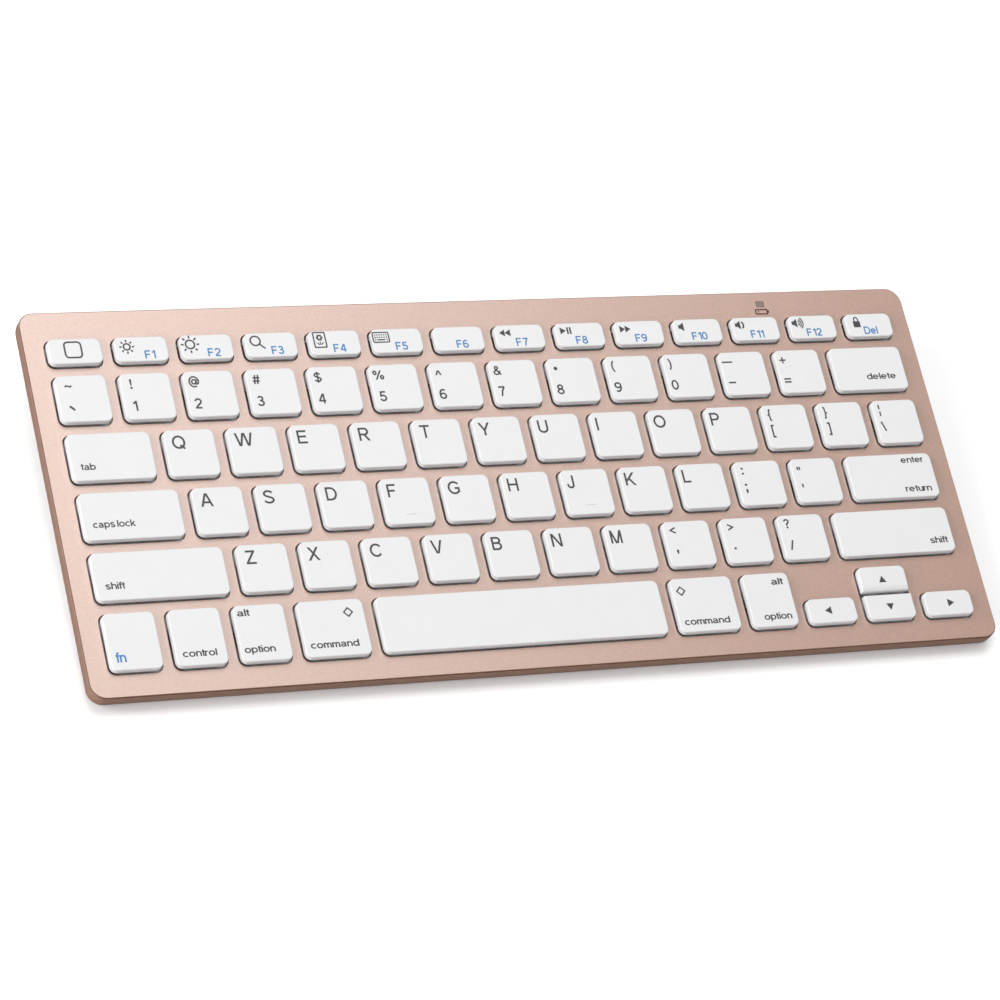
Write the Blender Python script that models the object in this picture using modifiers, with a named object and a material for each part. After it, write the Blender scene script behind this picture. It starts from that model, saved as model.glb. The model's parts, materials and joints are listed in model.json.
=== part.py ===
"""A slim wireless keyboard for tablets: rose-gold top case, white scissor-style keycaps, and a battery
bar under the rear edge that tilts it towards the typist.

Everything is modelled in the keyboard's own plane, called the deck frame: +X to the right, +Y to the rear
and z = 0 on the deck's top face. One empty, keyboard_tilt, then stands it on the table at its resting
angle, so that world z = 0 is the table.
"""

import math

import bmesh
import bpy
from mathutils import Vector

MM = 0.001

# Key grid
KEY_PITCH = 19.0 * MM  # one key unit across
ROW_PITCH = 18.3 * MM
KEY_GAP = 3.7 * MM  # between neighbouring keycaps in a row
ROW_GAP = 3.5 * MM
HALF_KEY_HEIGHT = 8.1 * MM  # function row and arrow keys
SPACE_ROW_HEIGHT = 17.3 * MM
UNITS_ACROSS = 14.5
FRONT_MARGIN = 7.2 * MM  # deck's front edge to the space row
FIELD_SHIFT = -0.3 * MM  # the key field sits a little left of the case's middle

# Case
CASE_WIDTH = 285.4 * MM
CASE_DEPTH = 118.9 * MM
CASE_CORNER = 4.8 * MM
DECK_THICKNESS = 1.2 * MM
RIM_HEIGHT = 5.8 * MM
RIM_WALL = 1.5 * MM
FIT_GAP = 0.2 * MM  # between pieces that touch
COVER_INNER_Z = -5.2 * MM
COVER_OUTER_Z = -6.3 * MM
TILT = math.radians(6.0)
DECK_ORIGIN_HEIGHT = 12.4 * MM  # deck centre above the table

# Keycaps
KEY_RISE = 2.0 * MM  # keycap top above the deck
KEY_SKIRT_Z = -0.95 * MM
KEY_WALL = 1.0 * MM
KEY_CORNER = 1.9 * MM
KEY_EDGE = 0.35 * MM
KEY_CLEARANCE = 0.6 * MM  # keycap to the deck opening
CARRIER_LOW, CARRIER_HIGH = -0.9 * MM, -0.5 * MM
CARRIER_WIDTH = 3.0 * MM
CARRIER_NOTCH_ROOF = -0.35 * MM

# Sheets under the keys
SHEET_HALF_WIDTH = CASE_WIDTH / 2 - RIM_WALL - 1.2 * MM
SHEET_FRONT, SHEET_REAR = -CASE_DEPTH / 2 + 3.2 * MM, CASE_DEPTH / 2 - 7.5 * MM
SHEET_CORNER = 3.0 * MM
DOME_SHEET_TOP, DOME_SHEET_LOW = -3.0 * MM, -3.3 * MM
DOME_TOP = 0.85 * MM
DOME_BASE_RADIUS, DOME_TIP_RADIUS = 2.4 * MM, 1.6 * MM
DOME_SIDES = 8
MEMBRANE_TOP, MEMBRANE_LOW = -3.4 * MM, -3.65 * MM
PLATE_TOP, PLATE_LOW = -3.75 * MM, -4.25 * MM
PLATE_HOLE = (5.0 * MM, 3.0 * MM, 1.0 * MM)  # width, depth and corner radius
PLATE_HOLE_PITCH, PLATE_HOLE_REACH = 60 * MM, 35 * MM
TAIL_X, TAIL_HALF_WIDTH = 100 * MM, 8 * MM  # the membrane's tail to the controller board

# Battery bar under the rear edge
REAR = CASE_DEPTH / 2
BAR_RAMP_START = REAR - 31 * MM
BAR_RAMP_END = REAR - 19 * MM
BAR_REAR = REAR - 4 * MM
BAR_LOW = -16.3 * MM
BAR_CORNER = 4.0 * MM
BAR_WALL = 1.2 * MM
BAR_HALF_LENGTH = 131 * MM
BAR_END_TAPER = 6 * MM
DOOR_HALF_LENGTH = 48 * MM
DOOR_TOP = -7.5 * MM
DOOR_CLEARANCE = 0.3 * MM
CELL_RADIUS, CELL_LENGTH = 5.25 * MM, 44.5 * MM  # AAA
CELL_NUB_RADIUS, CELL_NUB_LENGTH = 1.9 * MM, 0.9 * MM
CELLS_LEFT = -DOOR_HALF_LENGTH + 0.9 * MM
CELL_GAP = 0.3 * MM
SPRING_START = CELLS_LEFT + 2 * CELL_LENGTH + CELL_GAP + 0.8 * MM
SPRING_LENGTH, SPRING_NARROW, SPRING_WIDE = 4.0 * MM, 2.0 * MM, 3.6 * MM
SPRING_WIRE = 0.35 * MM
SPRING_TURNS = 3
CELL_Y, CELL_Z = BAR_REAR - BAR_WALL - 0.4 * MM - CELL_RADIUS, -9.65 * MM

# Controls on the bar's rear wall
CONTROL_Z = -9.5 * MM
SWITCH_X = 85 * MM
SWITCH_TRAVEL = 3.0 * MM
SWITCH_KNOB = (3.6 * MM, 2.2 * MM)
BUTTON_X = 105 * MM
BUTTON_RADIUS = 2.2 * MM
CONTROL_PROUD = 0.8 * MM
CONTROL_FLANGE = 0.4 * MM  # thickness of the plates that keep the controls in
BOARD_LEFT, BOARD_RIGHT = 60 * MM, 118 * MM
BOARD_LOW, BOARD_HIGH = -12.4 * MM, -11.4 * MM
LAMP_X = 93.2 * MM
LAMP_WIDTH, LAMP_DEPTH = 2.9 * MM, 2.0 * MM
LAMP_Y = REAR - 4.3 * MM
LAMP_GAP = 0.12 * MM
LAMP_LOW = -1.6 * MM

# Feet
FOOT_CORNER = 1.2 * MM
FRONT_FOOT_HALF_LENGTH, FRONT_FOOT_WIDTH = 110 * MM, 6 * MM
FRONT_FOOT_Y = -CASE_DEPTH / 2 + 5 * MM
REAR_FOOT_MARGIN = 6 * MM  # from the door and from the bar's end

ARROW_UNITS = 3.125 / 3
ROW_KEYS = {
    "number": [(n, 1) for n in ("grave", *"1234567890", "minus", "equal")] + [("delete", 1.5)],
    "upper": [("tab", 1.5)] + [(n, 1) for n in (*"qwertyuiop", "left_bracket", "right_bracket", "backslash")],
    "home": [("caps_lock", 1.75)] + [(n, 1) for n in (*"asdfghjkl", "semicolon", "quote")] + [("enter", 1.75)],
    "lower": [("left_shift", 2.25)] + [(n, 1) for n in (*"zxcvbnm", "comma", "period", "slash")]
    + [("right_shift", 2.25)],
    "space": [(n, 1) for n in ("fn", "control", "left_option")]
    + [("left_command", 1.25), ("space", 4.875), ("right_command", 1.25), ("right_option", 1)]
    + [(n, ARROW_UNITS) for n in ("left_arrow", "down_arrow", "right_arrow")],
}
FUNCTION_KEYS = ["home", *(f"f{i}" for i in range(1, 13)), "lock"]
STRIPS = {
    "function_key_strip": FUNCTION_KEYS,
    "number_key_strip": [n for n, _ in ROW_KEYS["number"]],
    "bracket_key_strip": ["left_bracket", "right_bracket", "backslash"],
    "quote_key_pair": ["semicolon", "quote"],
    "punctuation_key_strip": ["comma", "period", "slash"],
    "modifier_key_strip": ["fn", "control", "left_option"],
    "right_modifier_key_pair": ["right_command", "right_option"],
}


def key_layout():
    """Each key's (x, y, width, height) in the deck frame; x, y is its centre."""
    keys = {}
    key_height = ROW_PITCH - ROW_GAP
    left_edge = FIELD_SHIFT - UNITS_ACROSS * KEY_PITCH / 2
    space_y = -CASE_DEPTH / 2 + FRONT_MARGIN + SPACE_ROW_HEIGHT / 2
    lower_y = space_y + (SPACE_ROW_HEIGHT + key_height) / 2 + ROW_GAP
    row_y = {name: lower_y + i * ROW_PITCH for i, name in enumerate(("lower", "home", "upper", "number"))}
    row_y["space"] = space_y
    for row, cells in ROW_KEYS.items():
        x = left_edge
        for name, units in cells:
            width = units * KEY_PITCH
            height = SPACE_ROW_HEIGHT if row == "space" else key_height
            keys[name] = (x + width / 2, row_y[row], width - KEY_GAP, height)
            x += width
    half_offset = (SPACE_ROW_HEIGHT - HALF_KEY_HEIGHT) / 2
    for name in ("left_arrow", "down_arrow", "right_arrow"):
        x, y, width, _ = keys[name]
        keys[name] = (x, y - half_offset, width, HALF_KEY_HEIGHT)
    x, y, width, _ = keys["down_arrow"]
    keys["up_arrow"] = (x, space_y + half_offset, width, HALF_KEY_HEIGHT)
    pitch = UNITS_ACROSS * KEY_PITCH / len(FUNCTION_KEYS)
    function_y = row_y["number"] + (key_height + HALF_KEY_HEIGHT) / 2 + ROW_GAP
    for i, name in enumerate(FUNCTION_KEYS):
        keys[name] = (left_edge + (i + 0.5) * pitch, function_y, pitch - KEY_GAP, HALF_KEY_HEIGHT)
    return keys


# Scene helpers

def clear_scene():
    for obj in list(bpy.data.objects):
        bpy.data.objects.remove(obj)


def new_collection(name):
    collection = bpy.data.collections.new(name)
    bpy.context.scene.collection.children.link(collection)
    return collection


def material(name, colour, roughness, metallic=0.0):
    made = bpy.data.materials.new(name)
    made.use_nodes = True
    shader = made.node_tree.nodes["Principled BSDF"]
    shader.inputs["Base Color"].default_value = (*colour, 1.0)
    shader.inputs["Roughness"].default_value = roughness
    shader.inputs["Metallic"].default_value = metallic
    return made


class Workshop:
    """Holds the collections and the tilting empty, and puts each new mesh in its place."""

    def __init__(self):
        self.parts = new_collection("tablet_keyboard")
        self.cutters = new_collection("cutters")
        self.tilt = bpy.data.objects.new("keyboard_tilt", None)
        self.parts.objects.link(self.tilt)
        self.tilt.rotation_euler.x = TILT
        # The front edge of the deck and the rear edge of the rim are the box's ends in world Y.
        self.tilt.location = (0, -RIM_HEIGHT * math.sin(TILT) / 2, DECK_ORIGIN_HEIGHT)

    def add(self, name, mesh, finish=None, at=(0, 0, 0)):
        obj = bpy.data.objects.new(name, mesh)
        collection = self.parts if finish else self.cutters
        collection.objects.link(obj)
        obj.parent = self.tilt
        obj.location = at
        if finish:
            mesh.materials.append(finish)
        else:
            obj.hide_render = True
            obj.display_type = "WIRE"
        return obj

    def combine(self, obj, operation, mesh, at=(0, 0, 0)):
        """Cuts mesh from obj, or joins it to obj."""
        tool = self.add(f"{obj.name}_tool_{len(obj.modifiers)}", mesh, at=at)
        modifier = obj.modifiers.new(operation.lower(), "BOOLEAN")
        modifier.operation = operation
        modifier.object = tool
        return tool


# Mesh builders; all coordinates are in the deck frame

def rounded_rectangle(x, y, width, depth, radius, segments):
    """Outline points, anticlockwise from the front right corner's arc."""
    points = []
    for quarter, (sx, sy) in enumerate(((1, -1), (1, 1), (-1, 1), (-1, -1))):
        cx, cy = x + sx * (width / 2 - radius), y + sy * (depth / 2 - radius)
        for step in range(segments + 1):
            angle = (quarter - 1 + step / segments) * math.pi / 2
            points.append((cx + radius * math.cos(angle), cy + radius * math.sin(angle)))
    return points


def outline_mesh(outlines, low, high):
    """A flat piece between two heights from a 2D curve; an outline inside another is a hole."""
    curve = bpy.data.curves.new("outline", "CURVE")
    curve.dimensions = "2D"
    curve.fill_mode = "BOTH"
    curve.extrude = (high - low) / 2
    for outline in outlines:
        spline = curve.splines.new("POLY")
        spline.points.add(len(outline) - 1)
        for point, (x, y) in zip(spline.points, outline):
            point.co = (x, y, 0, 1)
        spline.use_cyclic_u = True
    return mesh_from_curve(curve, Vector((0, 0, (low + high) / 2)))


def mesh_from_curve(curve, shift=Vector((0, 0, 0))):
    obj = bpy.data.objects.new("temporary", curve)
    bpy.context.scene.collection.objects.link(obj)
    graph = bpy.context.evaluated_depsgraph_get()
    mesh = bpy.data.meshes.new_from_object(obj.evaluated_get(graph))
    bpy.data.objects.remove(obj)
    bpy.data.curves.remove(curve)
    bm = bmesh.new()
    bm.from_mesh(mesh)
    bmesh.ops.remove_doubles(bm, verts=bm.verts, dist=0.001 * MM)
    bmesh.ops.translate(bm, verts=bm.verts, vec=shift)
    bmesh.ops.recalc_face_normals(bm, faces=bm.faces)
    bm.to_mesh(mesh)
    bm.free()
    return mesh


def box_bm(low, high):
    bm = bmesh.new()
    bmesh.ops.create_cube(bm, size=1)
    low, high = Vector(low), Vector(high)
    bmesh.ops.scale(bm, verts=bm.verts, vec=high - low)
    bmesh.ops.translate(bm, verts=bm.verts, vec=(low + high) / 2)
    return bm


def to_mesh(bm, name="piece"):
    mesh = bpy.data.meshes.new(name)
    bm.to_mesh(mesh)
    bm.free()
    return mesh


def box(low, high):
    return to_mesh(box_bm(low, high))


def boxes(pairs):
    """Several boxes that don't touch, in one mesh."""
    bm = bmesh.new()
    for low, high in pairs:
        part = box_bm(low, high)
        piece = to_mesh(part)
        bm.from_mesh(piece)
        bpy.data.meshes.remove(piece)
    return to_mesh(bm)


def cylinder_along_y(radius, y_low, y_high, x, z, sides=20):
    bm = bmesh.new()
    bmesh.ops.create_cone(bm, cap_ends=True, segments=sides, radius1=radius, radius2=radius,
                          depth=y_high - y_low)
    for vert in bm.verts:
        vert.co = (x + vert.co.x, (y_low + y_high) / 2 - vert.co.z, z + vert.co.y)
    return to_mesh(bm)


def prism_along_x(profile, half_length, taper=0.0):
    """A (y, z) profile run along X. The ends lean in by taper between the cover and the bar's underside."""
    mesh = outline_mesh([profile], -half_length, half_length)
    bm = bmesh.new()
    bm.from_mesh(mesh)
    for vert in bm.verts:
        y, z, x = vert.co
        sunk = min(1.0, max(0.0, (COVER_OUTER_Z - z) / (COVER_OUTER_Z - BAR_LOW)))
        vert.co = (x - math.copysign(taper * sunk, x), y, z)
    bm.to_mesh(mesh)
    bm.free()
    return mesh


def arc(cy, cz, radius, start, end, segments=4):
    angles = [math.radians(start + (end - start) * i / segments) for i in range(segments + 1)]
    return [(cy + radius * math.cos(a), cz + radius * math.sin(a)) for a in angles]


def bar_profile(inset, top):
    """The battery bar's (y, z) section, drawn in from its outer face by inset and closed at height top."""
    corner = (BAR_REAR - BAR_CORNER, BAR_LOW + BAR_CORNER)
    return [
        (BAR_RAMP_START + 1.8 * inset, top),
        (BAR_RAMP_START + 1.8 * inset, COVER_OUTER_Z + inset),
        (BAR_RAMP_END + 0.6 * inset, BAR_LOW + inset),
        *arc(*corner, BAR_CORNER - inset, -90, 0),
        (BAR_REAR - inset, top),
    ]


# Parts

def keycap_mesh(width, depth, name):
    """A hollow cap: chamfered corners and top edge, open below for the dome and its scissor."""
    bm = box_bm((-width / 2, -depth / 2, KEY_SKIRT_Z), (width / 2, depth / 2, KEY_RISE))
    upright = [e for e in bm.edges if abs(e.verts[0].co.z - e.verts[1].co.z) > KEY_EDGE]
    bmesh.ops.bevel(bm, geom=upright, offset=KEY_CORNER * 0.6, segments=1, affect="EDGES")
    top = max(bm.faces, key=lambda f: f.calc_center_median().z)
    bmesh.ops.bevel(bm, geom=list(top.edges), offset=KEY_EDGE, segments=1, affect="EDGES")
    base = min(bm.faces, key=lambda f: f.calc_center_median().z)
    bmesh.ops.inset_individual(bm, faces=[base], thickness=KEY_WALL)
    raised = bmesh.ops.extrude_discrete_faces(bm, faces=[base])["faces"][0]
    bmesh.ops.translate(bm, verts=raised.verts, vec=(0, 0, KEY_RISE - KEY_WALL - KEY_SKIRT_Z))
    return to_mesh(bm, name)


def make_keycaps(shop, keys, finish):
    """One node for each key that moves alone, and one for each strip of keys on a shared carrier."""
    in_strip = {name for names in STRIPS.values() for name in names}
    for name, (x, y, width, depth) in keys.items():
        if name not in in_strip:
            shop.add(f"key_{name}", keycap_mesh(width, depth, name), finish, (x, y, 0))
    for strip, names in STRIPS.items():
        centre_x, centre_y = keys[names[0]][:2]
        bm = bmesh.new()
        for name in names:
            x, y, width, depth = keys[name]
            cap = keycap_mesh(width, depth, name)
            first = len(bm.verts)
            bm.from_mesh(cap)
            bm.verts.ensure_lookup_table()
            bmesh.ops.translate(bm, verts=bm.verts[first:], vec=(x - centre_x, y - centre_y, 0))
            bpy.data.meshes.remove(cap)
        obj = shop.add(strip, to_mesh(bm, strip), finish, (centre_x, centre_y, 0))
        carriers = carrier_boxes(keys, names, KEY_WALL / 2, 0, CARRIER_LOW, CARRIER_HIGH)
        shop.combine(obj, "UNION", boxes(carriers))


def carrier_boxes(keys, names, overlap, widen, low, high):
    """The bridges between neighbouring caps of a strip; overlap is how far each runs under its caps."""
    pairs = []
    for left, right in zip(names, names[1:]):
        start = keys[left][0] + keys[left][2] / 2 - overlap
        end = keys[right][0] - keys[right][2] / 2 + overlap
        y, half = keys[left][1], CARRIER_WIDTH / 2 + widen
        pairs.append(((start, y - half, low), (end, y + half, high)))
    return pairs


def deck_openings(keys):
    """Outlines of the holes in the deck. The up and down arrows share one hole."""
    grow = 2 * KEY_CLEARANCE
    outlines = []
    for name, (x, y, width, depth) in keys.items():
        if name == "up_arrow":
            continue
        if name == "down_arrow":
            y, depth = keys["space"][1], SPACE_ROW_HEIGHT
        outlines.append(rounded_rectangle(x, y, width + grow, depth + grow, KEY_CORNER, 1))
    lamp = rounded_rectangle(LAMP_X, LAMP_Y, LAMP_WIDTH, LAMP_DEPTH, 0.1 * MM, 1)
    return [*outlines, lamp]


def make_top_case(shop, keys, finish):
    """The deck and its rim, hollowed from below. The underside is notched where a strip's carriers move."""
    outline = rounded_rectangle(0, 0, CASE_WIDTH, CASE_DEPTH, CASE_CORNER, 6)
    inner = rounded_rectangle(0, 0, CASE_WIDTH - 2 * RIM_WALL, CASE_DEPTH - 2 * RIM_WALL,
                              CASE_CORNER - RIM_WALL, 6)
    case = shop.add("top_case", outline_mesh([outline], -RIM_HEIGHT, 0), finish)
    shop.combine(case, "DIFFERENCE", outline_mesh([inner], -2 * RIM_HEIGHT, -DECK_THICKNESS))
    shop.combine(case, "DIFFERENCE", outline_mesh(deck_openings(keys), -RIM_HEIGHT, RIM_HEIGHT))
    notches = []
    for names in STRIPS.values():
        notches += carrier_boxes(keys, names, -KEY_CLEARANCE / 2, 0.3 * MM, -2 * DECK_THICKNESS,
                                 CARRIER_NOTCH_ROOF)
    shop.combine(case, "DIFFERENCE", boxes(notches))


def make_bottom_cover(shop, finish):
    """A flat tray floor that fits inside the rim, with the hollow battery bar hanging from its rear."""
    reach = 2 * (RIM_WALL + FIT_GAP)
    floor = rounded_rectangle(0, 0, CASE_WIDTH - reach, CASE_DEPTH - reach, CASE_CORNER - RIM_WALL, 4)
    cover = shop.add("bottom_cover", outline_mesh([floor], COVER_OUTER_Z, COVER_INNER_Z), finish)
    seat = (COVER_INNER_Z + COVER_OUTER_Z) / 2
    shop.combine(cover, "UNION", prism_along_x(bar_profile(0, seat), BAR_HALF_LENGTH, BAR_END_TAPER))
    hollow_top = COVER_INNER_Z + 1 * MM
    hollow = prism_along_x(bar_profile(BAR_WALL, hollow_top), BAR_HALF_LENGTH - 1.5 * BAR_WALL, BAR_END_TAPER)
    shop.combine(cover, "DIFFERENCE", hollow)
    for side in (-1, 1):
        rib = side * (DOOR_HALF_LENGTH + 1.3 * MM)
        shop.combine(cover, "UNION", outline_rib(), at=(rib, 0, 0))
    opening = DOOR_HALF_LENGTH + DOOR_CLEARANCE
    shop.combine(cover, "DIFFERENCE", box((-opening, BAR_RAMP_END - DOOR_CLEARANCE, 2 * BAR_LOW),
                                          (opening, 2 * REAR, DOOR_TOP + DOOR_CLEARANCE)))
    slot_x, slot_z = SWITCH_KNOB[0] + SWITCH_TRAVEL + 0.8 * MM, SWITCH_KNOB[1] + 0.6 * MM
    slot_low = SWITCH_X - SWITCH_KNOB[0] / 2 - 0.4 * MM
    shop.combine(cover, "DIFFERENCE", box((slot_low, BAR_REAR - 2 * BAR_WALL, CONTROL_Z - slot_z / 2),
                                          (slot_low + slot_x, REAR, CONTROL_Z + slot_z / 2)))
    shop.combine(cover, "DIFFERENCE", cylinder_along_y(BUTTON_RADIUS + 0.3 * MM, BAR_REAR - 2 * BAR_WALL,
                                                       REAR, BUTTON_X, CONTROL_Z))


def outline_rib():
    """A cell stop across the bar's hollow, let into its walls."""
    return prism_along_x(bar_profile(BAR_WALL / 2, COVER_INNER_Z - 0.4 * MM), BAR_WALL / 2)


def make_battery_door(shop, finish):
    corner = (BAR_REAR - BAR_CORNER, BAR_LOW + BAR_CORNER)
    profile = [
        (BAR_RAMP_END, BAR_LOW),
        *arc(*corner, BAR_CORNER, -90, 0),
        (BAR_REAR, DOOR_TOP),
        (BAR_REAR - BAR_WALL, DOOR_TOP),
        *arc(*corner, BAR_CORNER - BAR_WALL, 0, -90),
        (BAR_RAMP_END, BAR_LOW + BAR_WALL),
    ]
    shop.add("battery_door", prism_along_x(profile, DOOR_HALF_LENGTH), finish)


def make_cells(shop, finish):
    """Two AAA cells end to end, turned about their own axis, positive ends to the left."""
    shoulder = CELL_LENGTH - CELL_NUB_LENGTH
    profile = [(0, CELL_LENGTH), (CELL_NUB_RADIUS, CELL_LENGTH), (CELL_NUB_RADIUS, shoulder),
               (CELL_RADIUS, shoulder), (CELL_RADIUS, 0), (0, 0)]
    for index, name in enumerate(("battery_left", "battery_right")):
        mesh = bpy.data.meshes.new(name)
        mesh.from_pydata([(r, 0, h) for r, h in profile], [(i, i + 1) for i in range(len(profile) - 1)], [])
        nub_x = CELLS_LEFT + index * (CELL_LENGTH + CELL_GAP)
        cell = shop.add(name, mesh, finish, (nub_x + CELL_LENGTH, CELL_Y, CELL_Z))
        cell.rotation_euler.y = -math.pi / 2
        turn = cell.modifiers.new("turn", "SCREW")
        turn.steps = turn.render_steps = 20
        turn.use_merge_vertices = True
        turn.merge_threshold = 0.01 * MM


def make_battery_spring(shop, finish):
    """The contact spring behind the right-hand cell, a coil that widens towards the wall."""
    points_per_turn = 12
    curve = bpy.data.curves.new("battery_spring", "CURVE")
    curve.dimensions = "3D"
    curve.bevel_depth = SPRING_WIRE
    curve.bevel_resolution = 1
    curve.use_fill_caps = True
    spline = curve.splines.new("POLY")
    count = SPRING_TURNS * points_per_turn
    spline.points.add(count)
    for i, point in enumerate(spline.points):
        share = i / count
        angle = share * SPRING_TURNS * 2 * math.pi
        radius = SPRING_NARROW + (SPRING_WIDE - SPRING_NARROW) * share
        x = SPRING_START + SPRING_LENGTH * share
        point.co = (x, radius * math.cos(angle), radius * math.sin(angle), 1)
    shop.add("battery_spring", mesh_from_curve(curve), finish, (0, CELL_Y, CELL_Z))


def make_sheets(shop, keys, rubber, film, steel):
    """The dome sheet, the membrane circuit and the steel plate that the keys are built on."""
    middle, depth = (SHEET_FRONT + SHEET_REAR) / 2, SHEET_REAR - SHEET_FRONT
    sheet = rounded_rectangle(0, middle, 2 * SHEET_HALF_WIDTH, depth, SHEET_CORNER, 2)

    domes = bmesh.new()
    foot = (DOME_SHEET_TOP + DOME_SHEET_LOW) / 2
    for x, y, _, _ in keys.values():
        made = bmesh.ops.create_cone(domes, cap_ends=True, segments=DOME_SIDES, radius1=DOME_BASE_RADIUS,
                                     radius2=DOME_TIP_RADIUS, depth=DOME_TOP - foot)
        bmesh.ops.translate(domes, verts=made["verts"], vec=(x, y, (DOME_TOP + foot) / 2))
    base = shop.add("dome_sheet", outline_mesh([sheet], DOME_SHEET_LOW, DOME_SHEET_TOP), rubber)
    shop.combine(base, "UNION", to_mesh(domes))

    right, left, tail_rear = TAIL_X + TAIL_HALF_WIDTH, TAIL_X - TAIL_HALF_WIDTH, REAR - 2 * RIM_WALL
    tail = [(right, SHEET_REAR), (right, tail_rear), (left, tail_rear), (left, SHEET_REAR)]
    half = len(sheet) // 2
    membrane = [*sheet[:half], *tail, *sheet[half:]]
    shop.add("membrane_circuit", outline_mesh([membrane], MEMBRANE_LOW, MEMBRANE_TOP), film)

    holes = [rounded_rectangle(i * PLATE_HOLE_PITCH, middle + side * PLATE_HOLE_REACH, *PLATE_HOLE, 1)
             for i in range(-2, 3) for side in (-1, 1)]
    shop.add("support_plate", outline_mesh([sheet, *holes], PLATE_LOW, PLATE_TOP), steel)


def make_controller_board(shop, finish):
    """The board in the bar's right end, with its radio chip, slide switch body and push switch body."""
    front, rear = BAR_RAMP_END + 1.5 * MM, BAR_REAR - BAR_WALL - 1.9 * MM
    board = shop.add("controller_board", box((BOARD_LEFT, front, BOARD_LOW), (BOARD_RIGHT, rear, BOARD_HIGH)),
                     finish)
    seat = (BOARD_LOW + BOARD_HIGH) / 2
    chip_left, chip_width, chip_height = BOARD_LEFT + 4 * MM, 8 * MM, 1.2 * MM
    body_front, body_rear, body_half = rear - 4 * MM, rear - 0.1 * MM, 3 * MM
    bodies = [
        ((chip_left, front + 2 * MM, seat), (chip_left + chip_width, rear - 2 * MM, BOARD_HIGH + chip_height)),
        ((SWITCH_X - body_half, body_front, seat),
         (SWITCH_X + body_half + SWITCH_TRAVEL, body_rear, CONTROL_Z + 1 * MM)),
        ((BUTTON_X - body_half, body_front, seat), (BUTTON_X + body_half, body_rear, CONTROL_Z + 1.5 * MM)),
    ]
    shop.combine(board, "UNION", boxes(bodies))


def make_controls(shop, dark, clear):
    """The switch knob, the push button and the status lens, each kept in by a flange behind its wall."""
    knob_x, knob_z = SWITCH_KNOB
    flange_rear = BAR_REAR - BAR_WALL - FIT_GAP
    flange_front, stem_front = flange_rear - 2 * CONTROL_FLANGE, flange_rear - CONTROL_FLANGE
    proud = BAR_REAR + CONTROL_PROUD
    knob = box((-knob_x / 2, stem_front, CONTROL_Z - knob_z / 2), (knob_x / 2, proud, CONTROL_Z + knob_z / 2))
    switch = shop.add("power_switch", knob, dark, (SWITCH_X, 0, 0))
    plate_x, plate_z = knob_x / 2 + 1.4 * MM, knob_z / 2 + 1 * MM
    shop.combine(switch, "UNION", box((SWITCH_X - plate_x, flange_front, CONTROL_Z - plate_z),
                                      (SWITCH_X + plate_x, flange_rear, CONTROL_Z + plate_z)))

    stem = cylinder_along_y(BUTTON_RADIUS, stem_front, proud, 0, CONTROL_Z)
    button = shop.add("pairing_button", stem, dark, (BUTTON_X, 0, 0))
    flange = cylinder_along_y(BUTTON_RADIUS + 0.7 * MM, flange_front, flange_rear, BUTTON_X, CONTROL_Z)
    shop.combine(button, "UNION", flange)

    half_x, half_y = LAMP_WIDTH / 2 - LAMP_GAP, LAMP_DEPTH / 2 - LAMP_GAP
    window = box((-half_x, -half_y, LAMP_LOW), (half_x, half_y, 0))
    lens = shop.add("status_light_lens", window, clear, (LAMP_X, LAMP_Y, 0))
    low, high = -DECK_THICKNESS - 1.0 * MM, -DECK_THICKNESS - FIT_GAP
    shop.combine(lens, "UNION", box((LAMP_X - 2.2 * MM, LAMP_Y - 2.0 * MM, low),
                                    (LAMP_X + 2.2 * MM, LAMP_Y + 1.5 * MM, high)))


def make_foot(shop, name, x_range, y_range, top, finish):
    """A rubber strip under the case, cut off level with the table."""
    bm = box_bm((x_range[0], y_range[0], top - 4 * MM), (x_range[1], y_range[1], top))
    upright = [e for e in bm.edges if abs(e.verts[0].co.z - e.verts[1].co.z) > 1 * MM]
    bmesh.ops.bevel(bm, geom=upright, offset=FOOT_CORNER, segments=3, affect="EDGES")
    normal = Vector((0, math.sin(TILT), math.cos(TILT)))
    on_table = Vector((0, 0, -DECK_ORIGIN_HEIGHT / math.cos(TILT)))
    geometry = [*bm.verts, *bm.edges, *bm.faces]
    cut = bmesh.ops.bisect_plane(bm, geom=geometry, plane_co=on_table, plane_no=normal, clear_inner=True)
    rim = [e for e in cut["geom_cut"] if isinstance(e, bmesh.types.BMEdge)]
    bmesh.ops.edgeloop_fill(bm, edges=rim)
    bmesh.ops.recalc_face_normals(bm, faces=bm.faces)
    shop.add(name, to_mesh(bm, name), finish)


def make_feet(shop, finish):
    """One long foot under the front edge, and one on each side of the battery door."""
    make_foot(shop, "front_foot", (-FRONT_FOOT_HALF_LENGTH, FRONT_FOOT_HALF_LENGTH),
              (FRONT_FOOT_Y, FRONT_FOOT_Y + FRONT_FOOT_WIDTH), COVER_OUTER_Z - FIT_GAP, finish)
    inner = DOOR_HALF_LENGTH + REAR_FOOT_MARGIN
    outer = BAR_HALF_LENGTH - BAR_END_TAPER - REAR_FOOT_MARGIN
    y_range = (BAR_RAMP_END + 1.5 * MM, BAR_REAR - BAR_CORNER - 1 * MM)
    make_foot(shop, "rear_foot_left", (-outer, -inner), y_range, BAR_LOW - FIT_GAP / 2, finish)
    make_foot(shop, "rear_foot_right", (inner, outer), y_range, BAR_LOW - FIT_GAP / 2, finish)


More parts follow.
